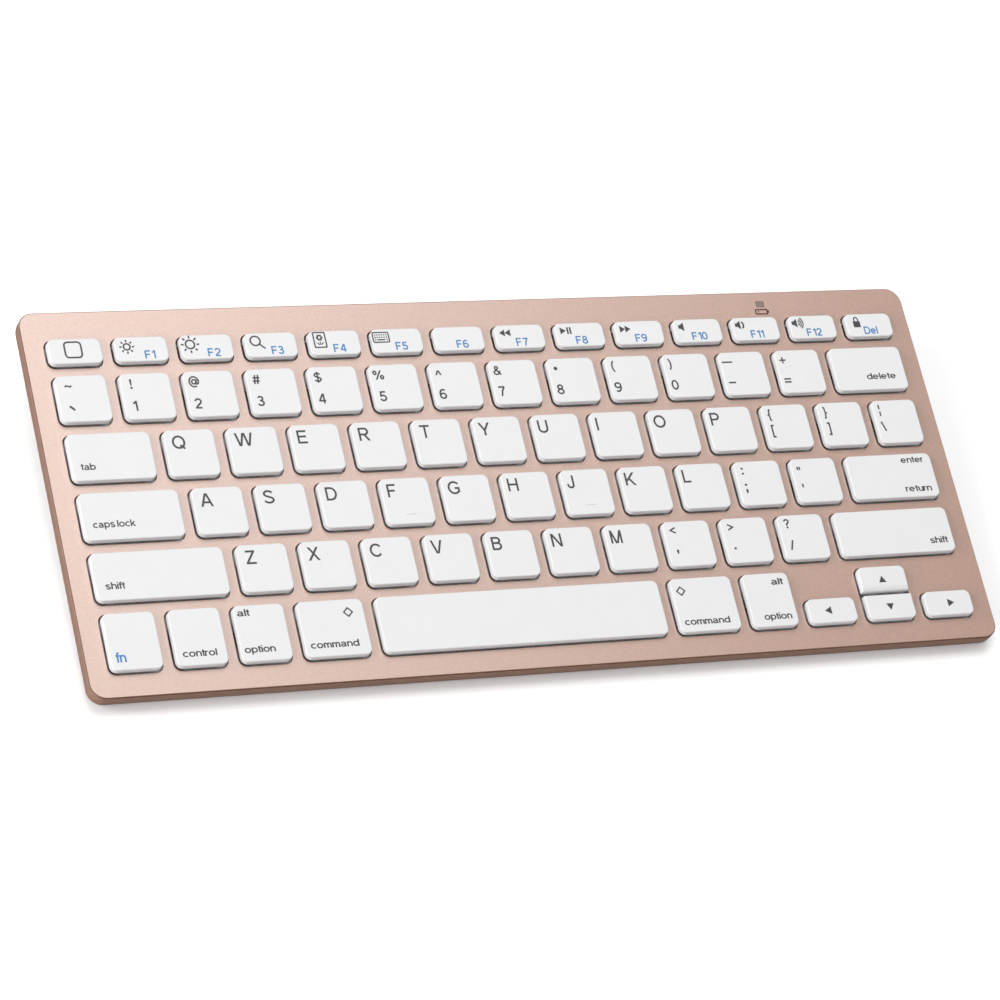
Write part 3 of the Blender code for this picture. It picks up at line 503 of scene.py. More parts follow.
GLYPHS = {
    "A": [slant(0.06, 0, 0.41, 1), slant(0.80, 0, 0.45, 1), line((0.18, 0.32), (0.68, 0.32))],
    "B": [STEM, line((LOW, HIGH), *bend(0.40, 0.735, 0.22, 0.20, 90, -90), (LOW, 0.535)),
          line((LOW, 0.535), *bend(0.42, 0.30, 0.245, 0.235, 90, -90), (LOW, LOW))],
    "C": [line(*bend(0.46, 0.5, 0.395, 0.435, 38, 322))],
    "D": [STEM, line((LOW, HIGH), *bend(0.35, 0.5, 0.39, 0.435, 90, -90), (LOW, LOW))],
    "E": [STEM, line((LOW, HIGH), (0.68, HIGH)), line((LOW, 0.53), (0.64, 0.53)),
          line((LOW, LOW), (0.70, LOW))],
    "F": [STEM, line((LOW, HIGH), (0.64, HIGH)), line((LOW, 0.50), (0.56, 0.50))],
    "G": [line(*bend(0.47, 0.5, 0.405, 0.435, 38, 322)), line((0.80, 0.52), (0.80, 0.16)),
          line((0.50, 0.465), (0.86, 0.465))],
    "H": [STEM, line((0.71, 0), (0.71, 1)), line((LOW, 0.52), (0.71, 0.52))],
    "I": [STEM],
    "J": [line((0.48, 1), *bend(0.27, 0.275, 0.21, 0.21, 0, -180), (0.06, 0.34))],
    "K": [STEM, slant(0.10, 0.32, 0.69, 1), slant(0.30, 0.56, 0.72, 0)],
    "L": [STEM, line((LOW, LOW), (0.60, LOW))],
    "M": [STEM, line((0.81, 0), (0.81, 1)), slant(0.07, 1, 0.41, 0), slant(0.80, 1, 0.465, 0)],
    "N": [STEM, line((0.71, 0), (0.71, 1)), slant(0.07, 1, 0.70, 0)],
    "O": [loop(0.47, 0.5, 0.405, 0.435)],
    "P": [STEM, line((LOW, HIGH), *bend(0.41, 0.70, 0.25, 0.235, 90, -90), (LOW, 0.465))],
    "Q": [loop(0.47, 0.5, 0.405, 0.435), line((0.55, 0.28), (0.86, 0.0))],
    "R": [STEM, line((LOW, HIGH), *bend(0.44, 0.71, 0.235, 0.225, 90, -90), (LOW, 0.485)),
          slant(0.40, 0.48, 0.72, 0)],
    "S": [S_CURVE],
    "T": [line((0, HIGH), (0.74, HIGH)), line((0.37, 0), (0.37, 1))],
    "U": [line((LOW, 1), *bend(0.38, 0.35, 0.315, 0.285, 180, 360), (0.695, 1))],
    "V": [slant(0.06, 1, 0.38, 0), slant(0.77, 1, 0.45, 0)],
    "W": [slant(0.06, 1, 0.315, 0), slant(0.605, 1, 0.36, 0), slant(0.665, 1, 0.91, 0),
          slant(1.21, 1, 0.955, 0)],
    "X": [slant(0.09, 1, 0.76, 0), slant(0.74, 1, 0.06, 0)],
    "Y": [line((0.41, 0), (0.41, 0.44)), slant(0.06, 1, 0.40, 0.40), slant(0.76, 1, 0.42, 0.40)],
    "Z": [line((0.05, HIGH), (0.71, HIGH)), line((0.02, LOW), (0.74, LOW)), slant(0.64, 0.92, 0.09, 0.08)],
    "0": [loop(0.35, 0.5, 0.285, 0.435)],
    "1": [line((0.40, 0), (0.40, 1)), line((0.10, 0.75), (0.25, 0.79), (0.38, 0.95))],
    "2": [line(*bend(0.345, 0.695, 0.265, 0.24, 172, -38), (0.10, 0.12)), line((0.04, LOW), (0.64, LOW))],
    "3": [line(*bend(0.33, 0.745, 0.22, 0.19, 160, -90), (0.26, 0.545)),
          line((0.26, 0.525), *bend(0.335, 0.295, 0.265, 0.23, 90, -165))],
    "4": [line((0.50, 0), (0.50, 1)), line((0.03, 0.29), (0.68, 0.29)), slant(0.46, 1, 0.06, 0.28)],
    "5": [line((0.60, HIGH), (0.17, HIGH), (0.11, 0.47)), line(*bend(0.325, 0.325, 0.275, 0.26, 145, -160))],
    "6": [loop(0.35, 0.31, 0.275, 0.245), line(*bend(0.385, 0.5, 0.31, 0.435, 52, 200))],
    "7": [line((0.04, HIGH), (0.67, HIGH)), line((0.62, 0.92), (0.40, 0.55), (0.27, 0))],
    "8": [loop(0.345, 0.74, 0.225, 0.195), loop(0.345, 0.29, 0.275, 0.225)],
    "9": [loop(0.35, 0.69, 0.275, 0.245), line(*bend(0.315, 0.5, 0.31, 0.435, 232, 380))],
    "a": [line(*bend(0.30, 0.50, 0.205, 0.165, 160, 0), (0.505, 0.12), (0.57, 0.02)),
          line((0.505, 0.42), (0.31, 0.385), *bend(0.265, 0.215, 0.20, 0.15, 90, 280), (0.505, 0.20))],
    "b": [STEM, loop(0.33, 0.365, 0.265, 0.30)],
    "c": [line(*bend(0.33, 0.365, 0.265, 0.30, 45, 315))],
    "d": [line((0.565, 0), (0.565, 1)), loop(0.30, 0.365, 0.265, 0.30)],
    "e": [line(*bend(0.33, 0.365, 0.265, 0.30, 0, 318)), line((0.07, 0.365), (0.65, 0.365))],
    "f": [line((0.19, 0), *bend(0.34, 0.80, 0.15, 0.135, 180, 80)), line((0.02, SMALL), (0.37, SMALL))],
    "h": [STEM, line(*bend(0.29, 0.42, 0.225, 0.245, 180, 0), (0.515, 0))],
    "i": [SHORT_STEM, line((LOW, 0.85), (LOW, 1))],
    "k": [STEM, slant(0.09, 0.25, 0.50, 0.73), slant(0.23, 0.44, 0.53, 0)],
    "l": [STEM],
    "m": [SHORT_STEM, line(*bend(0.245, 0.45, 0.18, 0.215, 180, 0), (0.425, 0)),
          line(*bend(0.605, 0.45, 0.18, 0.215, 180, 0), (0.785, 0))],
    "n": [SHORT_STEM, line(*bend(0.29, 0.42, 0.225, 0.245, 180, 0), (0.515, 0))],
    "o": [loop(0.34, 0.365, 0.275, 0.30)],
    "p": [line((LOW, -0.27), (LOW, 0.73)), loop(0.33, 0.365, 0.265, 0.30)],
    "r": [SHORT_STEM, line(*bend(0.28, 0.42, 0.215, 0.245, 180, 78))],
    "s": [line(*bend(0.28, 0.53, 0.20, 0.135, 20, 235), *bend(0.29, 0.20, 0.22, 0.135, 55, -165))],
    "t": [line((0.18, 0.93), *bend(0.29, 0.175, 0.11, 0.11, 180, 280)), line((0.02, SMALL), (0.35, SMALL))],
    "u": [line((LOW, 0.73), *bend(0.285, 0.31, 0.22, 0.245, 180, 360)), line((0.505, 0), (0.505, 0.73))],
    "!": [DOT, patch((-0.02, 1.02), (0.22, 1.02), (0.17, 0.34), (0.04, 0.34))],
    "@": [line(*bend(0.56, 0.42, 0.48, 0.54, -62, -350), (0.96, 0.22), (0.80, 0.17), (0.77, 0.30),
               (0.83, 0.66)), loop(0.55, 0.42, 0.21, 0.23)],
    "#": [slant(0.20, 0, 0.34, 1), slant(0.50, 0, 0.64, 1), line((0.07, 0.68), (0.80, 0.68)),
          line((0.03, 0.33), (0.76, 0.33))],
    "$": [S_CURVE, line((0.40, -0.1), (0.40, 1.1))],
    "%": [loop(0.22, 0.75, 0.15, 0.18), loop(0.92, 0.25, 0.15, 0.18), slant(0.30, 0, 0.84, 1)],
    "^": [slant(0.08, 0.48, 0.28, 1), slant(0.56, 0.48, 0.36, 1)],
    "&": [line((0.80, 0.02), (0.25, 0.66), *bend(0.38, 0.79, 0.155, 0.145, 200, -35),
               *bend(0.335, 0.265, 0.26, 0.205, 125, 345), (0.72, 0.47))],
    "*": [line(*bend(0.24, 0.78, 0.20, 0.20, a, a + 180)[::10]) for a in (90, 30, 150)],
    "(": OPEN_PARENTHESIS, ")": mirrored(OPEN_PARENTHESIS, 0.4),
    "{": OPEN_BRACE, "}": mirrored(OPEN_BRACE, 0.44),
    "[": OPEN_BRACKET, "]": mirrored(OPEN_BRACKET, 0.4),
    "<": LESS_THAN, ">": mirrored(LESS_THAN, 0.72),
    "_": [line((0, 0.5), (1.2, 0.5))],
    "-": [line((0, 0.5), (0.74, 0.5))],
    "+": [line((0, 0.5), (0.72, 0.5)), line((0.36, 0.14), (0.36, 0.86))],
    "=": [line((0, 0.34), (0.72, 0.34)), line((0, 0.66), (0.72, 0.66))],
    "|": [line((0.08, 1.02), (0.08, 0.50)), line((0.08, 0.26), (0.08, -0.26))],
    "\\": [slant(0.06, 1, 0.38, 0)],
    "/": [slant(0.06, 0, 0.38, 1)],
    ":": [DOT, UPPER_DOT],
    ";": [UPPER_DOT, DOT, line((0.14, 0.05), (0.05, -0.2))],
    ",": [DOT, line((0.14, 0.05), (0.05, -0.2))],
    ".": [DOT],
    '"': [line((0.07, 1), (0.07, 0.64)), line((0.30, 1), (0.30, 0.64))],
    "'": [line((0.07, 1), (0.07, 0.64))],
    "?": [block(0.30, 0.09, 0.22, 0.2, 0.05),
          line(*bend(0.30, 0.74, 0.235, 0.20, 178, -45), (0.30, 0.46), (0.30, 0.28))],
    "~": [line((0, 0.42), (0.09, 0.53), (0.21, 0.56), (0.46, 0.44), (0.58, 0.47), (0.67, 0.58))],
    "`": [patch((-0.04, 0.94), (0.14, 1.06), (0.54, 0.66), (0.42, 0.50))],
}


def offsets(points, width, closed):
    """A stroke's left and right edges, with mitred corners."""
    sides = ([], [])
    count = len(points)
    for i, point in enumerate(points):
        here = Vector(point)
        before = (here - Vector(points[i - 1])).normalized() if closed or i else None
        after = (Vector(points[(i + 1) % count]) - here).normalized() if closed or i + 1 < count else None
        before, after = before or after, after or before
        along = (before + after).normalized()
        normal = Vector((-along.y, along.x))
        reach = width / 2 / max(0.5, normal.dot(Vector((-after.y, after.x))))
        sides[0].append(here + normal * reach)
        sides[1].append(here - normal * reach)
    return sides


def outlines(kind, points, width):
    """The outlines that make up one part of a glyph or an icon."""
    if kind == "patch":
        return [[Vector(p) for p in points]]
    if kind == "slant":
        (x0, y0), (x1, y1) = points
        half = width / 2 * math.hypot(x1 - x0, y1 - y0) / abs(y1 - y0)
        return [[Vector(p) for p in ((x0 - half, y0), (x0 + half, y0), (x1 + half, y1), (x1 - half, y1))]]
    left, right = offsets(points, width, kind == "loop")
    count = len(points)
    ends = [(i, (i + 1) % count) for i in range(count if kind == "loop" else count - 1)]
    return [[right[i], right[j], left[j], left[i]] for i, j in ends]


def draw(bm, parts, width, matrix):
    """Adds glyph or icon parts, drawn with strokes of that width, as thin closed solids."""
    for number, (kind, points) in enumerate(parts):
        high = INK_HIGH + number % 4 * INK_STEP
        made = []
        for outline in outlines(kind, points, width):
            flat = [matrix @ v.to_3d() for v in outline]
            lower = [bm.verts.new((v.x, v.y, INK_LOW)) for v in flat]
            upper = [bm.verts.new((v.x, v.y, high)) for v in flat]
            made += lower + upper
            bm.faces.new(upper)
            bm.faces.new(list(reversed(lower)))
            for i in range(len(flat)):
                j = (i + 1) % len(flat)
                bm.faces.new((lower[i], lower[j], upper[j], upper[i]))
        bmesh.ops.remove_doubles(bm, verts=made, dist=0.0001 * MM)
        upright = [f for f in bm.faces if abs(f.normal.z) < 0.5]
        inner = [f for f in upright if all(len(e.link_faces) > 2 for e in f.edges)]
        bmesh.ops.delete(bm, geom=inner, context="FACES_ONLY")


def part_extent(parts):
    xs = [x for kind, points in parts for x, y in points]
    ys = [y for kind, points in parts for x, y in points]
    return min(xs), max(xs), min(ys), max(ys)


def word(bm, text, x, y, height, weight, anchor="left", width=None):
    """Text on the baseline y; anchor says which part of it is at x, and width sets its length."""
    spots, cursor = [], 0.0
    for letter in text:
        if letter == " ":
            cursor += WORD_SPACE - LETTER_GAP
            continue
        left, right = part_extent(GLYPHS[letter])[:2]
        tuck = TUCKED.get(letter, 0.0) if spots else 0.0
        spots.append((letter, cursor - left - tuck))
        cursor += right - left + LETTER_GAP - tuck - TUCKED.get(letter, 0.0)
    length = cursor - LETTER_GAP
    stretch = width / (length * height) if width else 1.0
    start = x - {"left": 0.0, "centre": 0.5, "right": 1.0}[anchor] * length * height * stretch
    for letter, offset in spots:
        matrix = Matrix.Translation((start + offset * height * stretch, y, 0))
        draw(bm, GLYPHS[letter], weight, matrix @ Matrix.Diagonal((height * stretch, height, 1, 1)))


def symbol(bm, text, x, y, height, weight):
    """A sign centred on x, y, at the size it has beside capitals of that height."""
    left, right, low, high = part_extent(GLYPHS[text])
    matrix = Matrix.Translation((x - (left + right) / 2 * height, y - (low + high) / 2 * height, 0))
    draw(bm, GLYPHS[text], weight, matrix @ Matrix.Diagonal((height, height, 1, 1)))


def rays(count, inner, outer):
    turns = [2 * math.pi * i / count for i in range(count)]
    return [line(*((r * math.cos(a), r * math.sin(a)) for r in (inner, outer))) for a in turns]


def frame_line(x, y, width, height, radius):
    return "loop", rounded_rectangle(x, y, width, height, radius, 3)


def arrow(x, y, width, height):
    """A triangle that points to +X, or to -X with a negative width."""
    base = x - width / 2
    return patch((base, y - height / 2), (x + width / 2, y), (base, y + height / 2))


SPEAKER = patch((-1.35, -0.6), (-0.7, -0.6), (0.45, -1.5), (0.45, 1.5), (-0.7, 0.6), (-1.35, 0.6))
PETALS = [circle(0.72 * math.cos(a), 0.75 + 0.72 * math.sin(a), 0.36, 10)
          for a in (math.pi / 3 * i for i in range(6))]
FLOWER = [loop(0, 0.75, 0.62, 0.62), *(patch(*petal) for petal in PETALS), block(0, -1.0, 0.3, 1.0),
          patch((0, -1.55), (1.05, -0.65), (0.95, -1.25), (0.5, -1.6)),
          patch((0, -1.55), (-0.5, -1.6), (-0.95, -1.25), (-1.05, -0.65))]
KEYBOARD_DOTS = [(x, y) for y in (0.8, 0.0) for x in (-1.75, -1.05, -0.35, 0.35, 1.05, 1.75)]
KEYBOARD_DOTS += [(-1.75, -0.8), (1.75, -0.8)]
KEYBOARD = [frame_line(0, 0, 5.0, 3.2, 0.35), block(0, -0.8, 2.4, 0.42, 0.05),
            *(block(x, y, 0.42, 0.42, 0.05) for x, y in KEYBOARD_DOTS)]
DIAMOND = ("loop", [(-1.3, 0), (0, -1.3), (1.3, 0), (0, 1.3)])
PAUSE_BARS = [block(0.65, 0, 0.55, 2.3), block(1.55, 0, 0.55, 2.3)]
SHACKLE = line((-0.65, 0.1), *bend(0, 0.8, 0.65, 0.7, 180, 0), (0.65, 0.1))
ICONS = {  # parts in millimetres, stroke width, and the icon's middle from the key's middle
    "home": ([frame_line(0, 0, 4.9, 4.9, 1.0)], 0.52, -0.6, 0.4),
    "f1": ([loop(0, 0, 0.98, 0.98), *rays(8, 1.5, 2.2)], 0.48, -4.3, 0.8),
    "f2": ([loop(0, 0, 1.35, 1.35), *rays(8, 1.95, 2.8)], 0.50, -4.95, 0.9),
    "f3": ([loop(-0.6, 0.55, 1.5, 1.5), line((0.5, -0.5), (2.1, -2.0))], 0.50, -4.1, 0.8),
    "f4": ([frame_line(0, 0, 3.6, 4.8, 0.1), *FLOWER], 0.42, -4.5, 1.0),
    "f5": (KEYBOARD, 0.40, -5.0, 1.2),
    "f7": ([arrow(-0.9, 0, -1.8, 2.3), arrow(0.9, 0, -1.8, 2.3)], 0.3, -4.75, 1.3),
    "f8": ([arrow(-0.85, 0, 1.9, 2.3), *PAUSE_BARS], 0.3, -4.5, 1.4),
    "f9": ([arrow(-0.9, 0, 1.8, 2.3), arrow(0.9, 0, 1.8, 2.3)], 0.3, -4.5, 1.3),
    "f10": ([SPEAKER], 0.3, -5.0, 1.4),
    "f11": ([SPEAKER, line(*bend(0.2, 0, 1.3, 1.4, -52, 52))], 0.55, -5.4, 1.4),
    "f12": ([SPEAKER, *(line(*bend(0.2, 0, r, r, -50, 50)) for r in (1.05, 1.7, 2.35))], 0.38, -5.6, 1.4),
    "lock": ([block(0, -0.85, 2.4, 2.1, 0.1), SHACKLE], 0.42, -4.2, 1.2),
    "up_arrow": ([patch((-1.25, -1.0), (1.25, -1.0), (0, 1.15))], 0.3, -0.5, -0.3),
    "down_arrow": ([patch((-1.25, 1.0), (0, -1.15), (1.25, 1.0))], 0.3, -0.2, 0.0),
    "left_arrow": ([arrow(0, 0, -2.2, 2.5)], 0.3, -1.5, 0.0),
    "right_arrow": ([arrow(0, 0, 2.2, 2.5)], 0.3, 0.7, 0.0),
    "left_command": ([DIAMOND], 0.42, 5.0, 4.5),
    "right_command": ([DIAMOND], 0.42, -7.0, 4.5),
}
SHIFTED = dict(zip(DIGITS, "!@#$%^&*()")) | {
    "grave": "~", "minus": "_", "equal": "+", "left_bracket": "{", "right_bracket": "}", "backslash": "|",
    "semicolon": ":", "quote": '"', "comma": "<", "period": ">", "slash": "?",
}
PLAIN = dict(zip(DIGITS, DIGITS)) | {
    "grave": "`", "minus": "-", "equal": "=", "left_bracket": "[", "right_bracket": "]", "backslash": "\\",
    "semicolon": ";", "quote": "'", "comma": ",", "period": ".", "slash": "/",
}
# A key's signs, in millimetres: the shifted and the plain one's height above its middle, and a step right
SIGN_ROWS = {
    "number_key_strip": (3.9, -3.0, 0.4), "bracket_key_strip": (3.9, -1.5, 0.4),
    "quote_key_pair": (4.1, -1.6, 0.35), "punctuation_key_strip": (4.4, -2.5, 0.8),
}
WORDS = {  # text, side, distance from that side, baseline from the key's middle, length, in millimetres
    "tab": [("tab", "left", 2.8, -4.0, 4.1)],
    "caps_lock": [("caps lock", "left", 3.1, -3.5, 12.0)],
    "left_shift": [("shift", "left", 3.15, -3.9, 5.2)],
    "delete": [("delete", "right", 3.9, -3.7, 9.8)],
    "enter": [("enter", "right", 3.0, 4.2, 7.4), ("return", "right", 2.8, -5.4, 8.6)],
    "right_shift": [("shift", "right", 2.5, -4.5, 5.6)],
    "control": [("control", "left", 2.3, -5.9, 9.6)],
    "left_option": [("alt", "left", 1.4, 5.2, 3.2), ("option", "left", 1.4, -5.9, 8.7)],
    "left_command": [("command", "left", 2.0, -5.9, 14.1)],
    "right_command": [("command", "left", 2.0, -6.3, 14.3)],
    "right_option": [("alt", "right", 2.4, 4.7, 3.4), ("option", "right", 2.3, -6.3, 8.7)],
}


def draw_dark_legends(bm, key):
    drift = -LEGEND_DRIFT * key.x
    name = key.name
    if len(name) == 1 and name.isalpha():
        x = key.left + LETTER_LEFT + drift
        word(bm, name.upper(), x, key.y + LETTER_BASE, LETTER_HEIGHT, LETTER_WEIGHT)
    if name in SHIFTED:
        upper, lower, right = SIGN_ROWS[key.node]
        column = key.x + SIGN_COLUMN + drift + (0 if name in DIGITS else right * MM)
        symbol(bm, SHIFTED[name], column, key.y + upper * MM, SYMBOL_HEIGHT, WORD_WEIGHT)
        symbol(bm, PLAIN[name], column, key.y + lower * MM, DIGIT_HEIGHT, WORD_WEIGHT)
    for text, side, distance, base, length in WORDS.get(name, ()):
        x = key.left + distance * MM if side == "left" else key.right - distance * MM
        word(bm, text, x, key.y + base * MM, WORD_HEIGHT, WORD_WEIGHT, side, length * MM)
    if name in ICONS:
        parts, width, x, y = ICONS[name]
        place_at = Matrix.Translation((key.x + x * MM, key.y + y * MM, 0))
        draw(bm, parts, width, place_at @ Matrix.Diagonal((MM, MM, 1, 1)))


def draw_blue_legends(bm, key):
    name = key.name
    if name[0] == "f" and name[1:].isdigit() or name == "lock":
        label = "Del" if name == "lock" else name.upper()
        x = key.x + max(LEAST_LABEL_STEP, LABEL_STEP - LABEL_DRIFT * key.x)
        word(bm, label, x, key.y + LABEL_BASE, LABEL_HEIGHT, LABEL_WEIGHT, "centre")
    if name == "fn":
        word(bm, "fn", key.left + FN_LEFT, key.y + FN_BASE, FN_HEIGHT, LABEL_WEIGHT)


def make_legends(key, dark_ink, blue_ink):
    prints = (("dark", draw_dark_legends, dark_ink), ("blue", draw_blue_legends, blue_ink))
    for colour, drawing, finish in prints:
        bm = bmesh.new()
        drawing(bm, key)
        if bm.verts:
            place(f"legend_{key.name}_{colour}", to_mesh(bm), finish, key.node)
        else:
            bm.free()


HOMING_BAR_LENGTH, HOMING_BAR_WIDTH, HOMING_BAR_RISE = 3.2 * MM, 0.34 * MM, 0.14 * MM
HOMING_BAR_Y = -4.1 * MM  # from the key's middle


def make_homing_bar(key, finish):
    """The raised bar under the index fingers."""
    box = (key.x, key.y + HOMING_BAR_Y, HOMING_BAR_LENGTH, HOMING_BAR_WIDTH)
    profile = [(0, KEY_TOP - 0.05 * MM), *edge_arc(0.1 * MM, KEY_TOP + HOMING_BAR_RISE, 3)]
    bar = lofted(box, 0.16 * MM, profile, 3)
    place(f"homing_bar_{key.name}", bar, finish, key.node)


# The case

CASE_CORNER = 4.8 * MM
DECK_THICKNESS = 1.2 * MM
RIM_WALL = 1.5 * MM
OPENING_GAP = 0.42 * MM
OPENING_BEVEL = 0.12 * MM
LENS_GAP = 0.08 * MM
MARK_PLACE = Vector((-0.2, -2.6)) * MM  # the battery mark, from the status light
MARK_STROKE = 0.44  # in millimetres


def case_profile():
    """The case's outside from its top face down: the deck's lip, a shadow groove and a rounded wall."""
    lip = [(0.44, 0.0), (0.38, -0.02), (0.35, -0.07), (0.35, -0.95)]
    groove = [(0.12, -0.95), (0.12, -0.45)]
    wall = [(0.08, -0.36), (0.03, -0.40), (0.0, -0.6), (0.0, -2.6), (0.05, -3.5), (0.18, -4.3), (0.40, -5.0),
            (0.70, -5.5)]
    return [*((inset * MM, z * MM) for inset, z in lip + groove + wall), (1.05 * MM, -RIM)]


def openings():
    """Every key opening in the deck as (box, corner radius). The up and down arrows share one."""
    for key in KEYS.values():
        if key.name == "up_arrow":
            continue
        y, depth = key.y, key.depth
        if key.name == "down_arrow":
            y, depth = KEYS["space"].y, KEYS["space"].depth
        yield (key.x, y, key.width + 2 * OPENING_GAP, depth + 2 * OPENING_GAP), CAP_CORNER + OPENING_GAP


def make_top_case(finish):
    case = lofted((0, 0, WIDTH, DEPTH), CASE_CORNER, case_profile(), 12)
    inside = lofted((0, 0, WIDTH - 2 * RIM_WALL, DEPTH - 2 * RIM_WALL), CASE_CORNER - RIM_WALL,
                    [(0, -DECK_THICKNESS), (0, -2 * RIM)], 12)
    cutters = bmesh.new()
    edge = OPENING_BEVEL
    flare = [(0, -2 * DECK_THICKNESS), (0, -edge), (-0.3 * edge, -0.3 * edge), (-edge, 0), (-edge, edge)]
    for box, radius in openings():
        loft(cutters, box, radius, flare, 6)
    x, y = STATUS_LIGHT
    loft(cutters, (x, y, LENS_SIZE[0] + 2 * LENS_GAP, LENS_SIZE[1] + 2 * LENS_GAP), 0.25 * MM, flare, 4)
    mesh = cut(case, [("DIFFERENCE", inside), ("DIFFERENCE", to_mesh(cutters))])
    even_shading(place("deck_and_rim", mesh, finish, replaces=("top_case",)))


def lens_place():
    """The status light's middle on the deck and its visible size, from the CAD lens's top."""
    low, high = cap_tops("status_light_lens")[0]
    return (low + high) / 2, high - low


STATUS_LIGHT, LENS_SIZE = lens_place()


def make_status_light(finish, mark_finish):
    x, y = STATUS_LIGHT
    profile = [(0, -1.6 * MM), *edge_arc(0.12 * MM, -0.05 * MM, 3)]
    lens = lofted((x, y, *LENS_SIZE), 0.2 * MM, profile, 4)
    even_shading(place("status_window", lens, finish, replaces=("status_light_lens",)))
    bm = bmesh.new()
    shift = Matrix.Translation((STATUS_LIGHT + MARK_PLACE).to_3d())
    parts = [frame_line(0, 0, 3.9, 1.5, 0.2), block(2.35, 0, 0.4, 0.9, 0.05), block(-1.0, 0, 0.5, 0.4, 0.05)]
    draw(bm, parts, MARK_STROKE, shift @ Matrix.Diagonal((MM, MM, 1, 1)))
    bmesh.ops.translate(bm, verts=bm.verts, vec=(0, 0, -KEY_TOP))
    place("battery_mark", to_mesh(bm), mark_finish)


# Under the keys

DOME_SIDES = 24
DOME_PROFILE = [(0, 2.4), (0.35, 2.25), (0.8, 2.1), (2.6, 1.75), (3.3, 1.65), (3.7, 1.45), (3.85, 1.1)]
DOME_SHEET_THICKNESS = 0.4 * MM


def make_domes(finish):
    """The dome sheet, and for each key body the domes that its caps press flat."""
    low, high = deck_box("dome_sheet")
    sheet_top = deck_box("membrane_circuit")[1].z + DOME_SHEET_THICKNESS
    x, y = (low.x + high.x) / 2, (low.y + high.y) / 2
    sheet = lofted((x, y, high.x - low.x, high.y - low.y), 3 * MM, [(0, low.z), (0, sheet_top)], 4)
    place("dome_sheet_base", sheet, finish, replaces=("dome_sheet",))
    stretch = (high.z - sheet_top) / DOME_PROFILE[-1][0]
    for node in dict.fromkeys(key.node for key in KEYS.values()):
        bm = bmesh.new()
        for key in (k for k in KEYS.values() if k.node == node):
            add_dome(bm, key, sheet_top, stretch)
        domes = place(f"domes_{node}", to_mesh(bm), finish)
        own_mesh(domes)


def add_dome(bm, key, base, stretch):
    rings = []
    for height, radius in DOME_PROFILE:
        outline = circle(key.x, key.y, radius * MM, DOME_SIDES)
        rings.append([bm.verts.new((px, py, base + height * stretch)) for px, py in outline])
    bm.faces.new(rings[-1])
    bm.faces.new(list(reversed(rings[0])))
    for lower, upper in zip(rings, rings[1:]):
        for i in range(DOME_SIDES):
            j = (i + 1) % DOME_SIDES
            bm.faces.new((lower[i], lower[j], upper[j], upper[i]))


# Finishes of the pieces that keep their CAD shapes

def dress_underside(plastic, rubber, dark):
    """Finishes for the CAD pieces that show under the case."""
    finishes = {
        plastic: ("bottom_cover", "battery_door"),
        rubber: ("front_foot", "rear_foot_left", "rear_foot_right"),
        dark: ("power_switch", "pairing_button"),
    }
    for finish, nodes in finishes.items():
        for node in nodes:
            frame["nodes"][node].data.materials[0] = finish


def dress_inner_nodes():
    """Finishes for the CAD pieces inside the case."""
    sleeve = metal("cell_sleeve", (0.16, 0.16, 0.18), 0.38)
    finishes = {
        "membrane_circuit": moulded("membrane_film", (0.58, 0.68, 0.56), 0.3, 1.5 * MM, 0.004 * MM),
        "support_plate": metal("plate_steel", (0.60, 0.61, 0.63), 0.34, (0.05, 1, 1)),
        "controller_board": moulded("board_mask", (0.02, 0.16, 0.06), 0.42, 0.5 * MM),
        "battery_left": sleeve,
        "battery_right": sleeve,
        "battery_spring": metal("spring_wire", (0.70, 0.70, 0.72), 0.25),
    }
    for node, finish in finishes.items():
        frame["nodes"][node].data.materials[0] = finish


# Stage

def make_stage():
    bm = bmesh.new()
    bmesh.ops.create_grid(bm, x_segments=1, y_segments=1, size=FLOOR_SIZE / 2)
    floor = bpy.data.objects.new("floor", to_mesh(bm))
    bpy.context.scene.collection.objects.link(floor)
    made = Nodes("floor_white", (0.97, 0.97, 0.97), 0.9)
    floor.data.materials.append(made.material)
    floor.visible_glossy = False


def area_light(name, place_at, aim, size, power):
    data = bpy.data.lights.new(name, "AREA")
    data.shape = "RECTANGLE"
    data.size, data.size_y = size
    data.energy = power
    light = bpy.data.objects.new(name, data)
    light.location = place_at
    light.rotation_euler = (Vector(aim) - Vector(place_at)).to_track_quat("-Z", "Y").to_euler()
    bpy.context.scene.collection.objects.link(light)


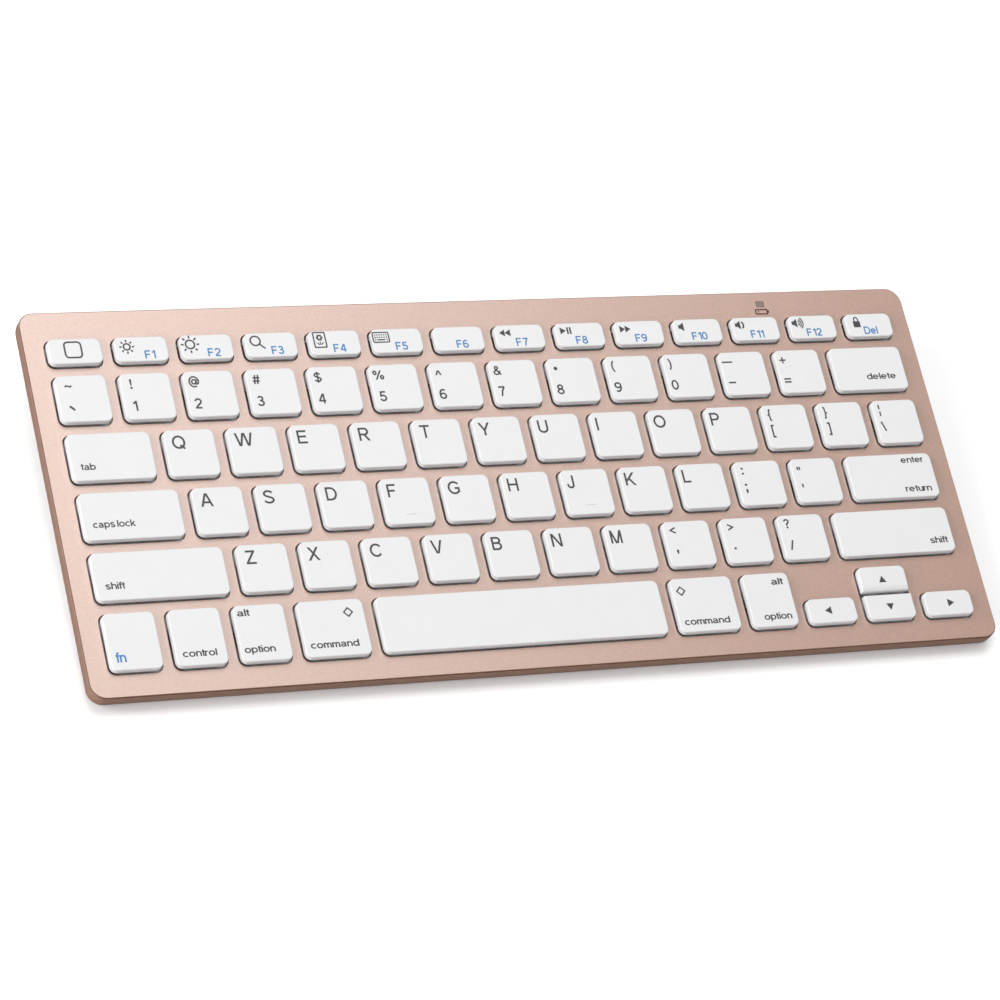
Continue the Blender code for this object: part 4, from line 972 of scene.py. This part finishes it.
def make_world():
    """Soft white light that fades below the horizon and that glossy surfaces don't mirror."""
    world = bpy.data.worlds.new("studio")
    world.use_nodes = True
    tree = world.node_tree
    height = tree.nodes.new("ShaderNodeSeparateXYZ")
    tree.links.new(tree.nodes.new("ShaderNodeTexCoord").outputs["Generated"], height.inputs["Vector"])
    sky = tree.nodes.new("ShaderNodeMapRange")
    sky.inputs["From Min"].default_value = -0.1
    sky.inputs["From Max"].default_value = 0.25
    sky.inputs["To Min"].default_value = 0.04
    sky.inputs["To Max"].default_value = 0.42
    tree.links.new(height.outputs["Z"], sky.inputs["Value"])
    tree.links.new(sky.outputs["Result"], tree.nodes["Background"].inputs["Strength"])
    tree.nodes["Background"].inputs["Color"].default_value = (1, 1, 1, 1)
    bpy.context.scene.world = world
    world.cycles_visibility.glossy = False


def make_lights():
    area_light("softbox_overhead", (0.05, 0.61, 1.3), (0.05, 0, 0), (1.1, 1.1), 14.8)
    area_light("softbox_left", (-2.4, 0.0, 1.0), (0, 0, 0), (2.0, 1.4), 52)
    area_light("softbox_right", (1.7, 0.2, 0.8), (0, 0, 0), (0.8, 0.6), 3)
    area_light("softbox_front_left", (-1.5, -1.5, 0.9), (-0.1, 0, 0), (0.8, 0.7), 16)


def make_camera():
    data = bpy.data.cameras.new("camera")
    data.lens = CAMERA_LENS
    data.clip_start, data.clip_end = 0.01, 20
    camera = bpy.data.objects.new("camera", data)
    camera.matrix_world = DECK @ Matrix.LocRotScale(CAMERA_AT, CAMERA_TURN, None)
    bpy.context.scene.collection.objects.link(camera)
    bpy.context.scene.camera = camera


def main():
    bpy.context.scene.view_settings.view_transform = "Standard"
    make_camera()
    gold, white = rose_gold(), key_plastic()
    dark_ink = ink("legend_grey", (0.045, 0.045, 0.048))
    blue_ink = ink("legend_blue", (0.045, 0.18, 0.40))
    plastic = moulded("cover_plastic", (0.80, 0.78, 0.77), 0.5)
    rubber = moulded("foot_rubber", (0.035, 0.035, 0.035), 0.8, 0.3 * MM)
    dark = moulded("control_plastic", (0.04, 0.04, 0.045), 0.45)
    silicone = moulded("dome_silicone", (0.70, 0.74, 0.76), 0.45, 1.0 * MM, 0.01 * MM)
    window = moulded("window_plastic", (0.19, 0.15, 0.135), 0.5, 0.4 * MM, 0.01 * MM)
    mark = ink("mark_brown", (0.07, 0.018, 0.012))

    make_top_case(gold)
    make_status_light(window, mark)
    for key in KEYS.values():
        make_cap(key, white)
        make_legends(key, dark_ink, blue_ink)
    make_carriers(ink("carrier_grey", (0.05, 0.05, 0.05)))
    for name in ("f", "j"):
        make_homing_bar(KEYS[name], white)
    make_domes(silicone)
    dress_underside(plastic, rubber, dark)
    dress_inner_nodes()
    make_stage()
    make_world()
    make_lights()


main()
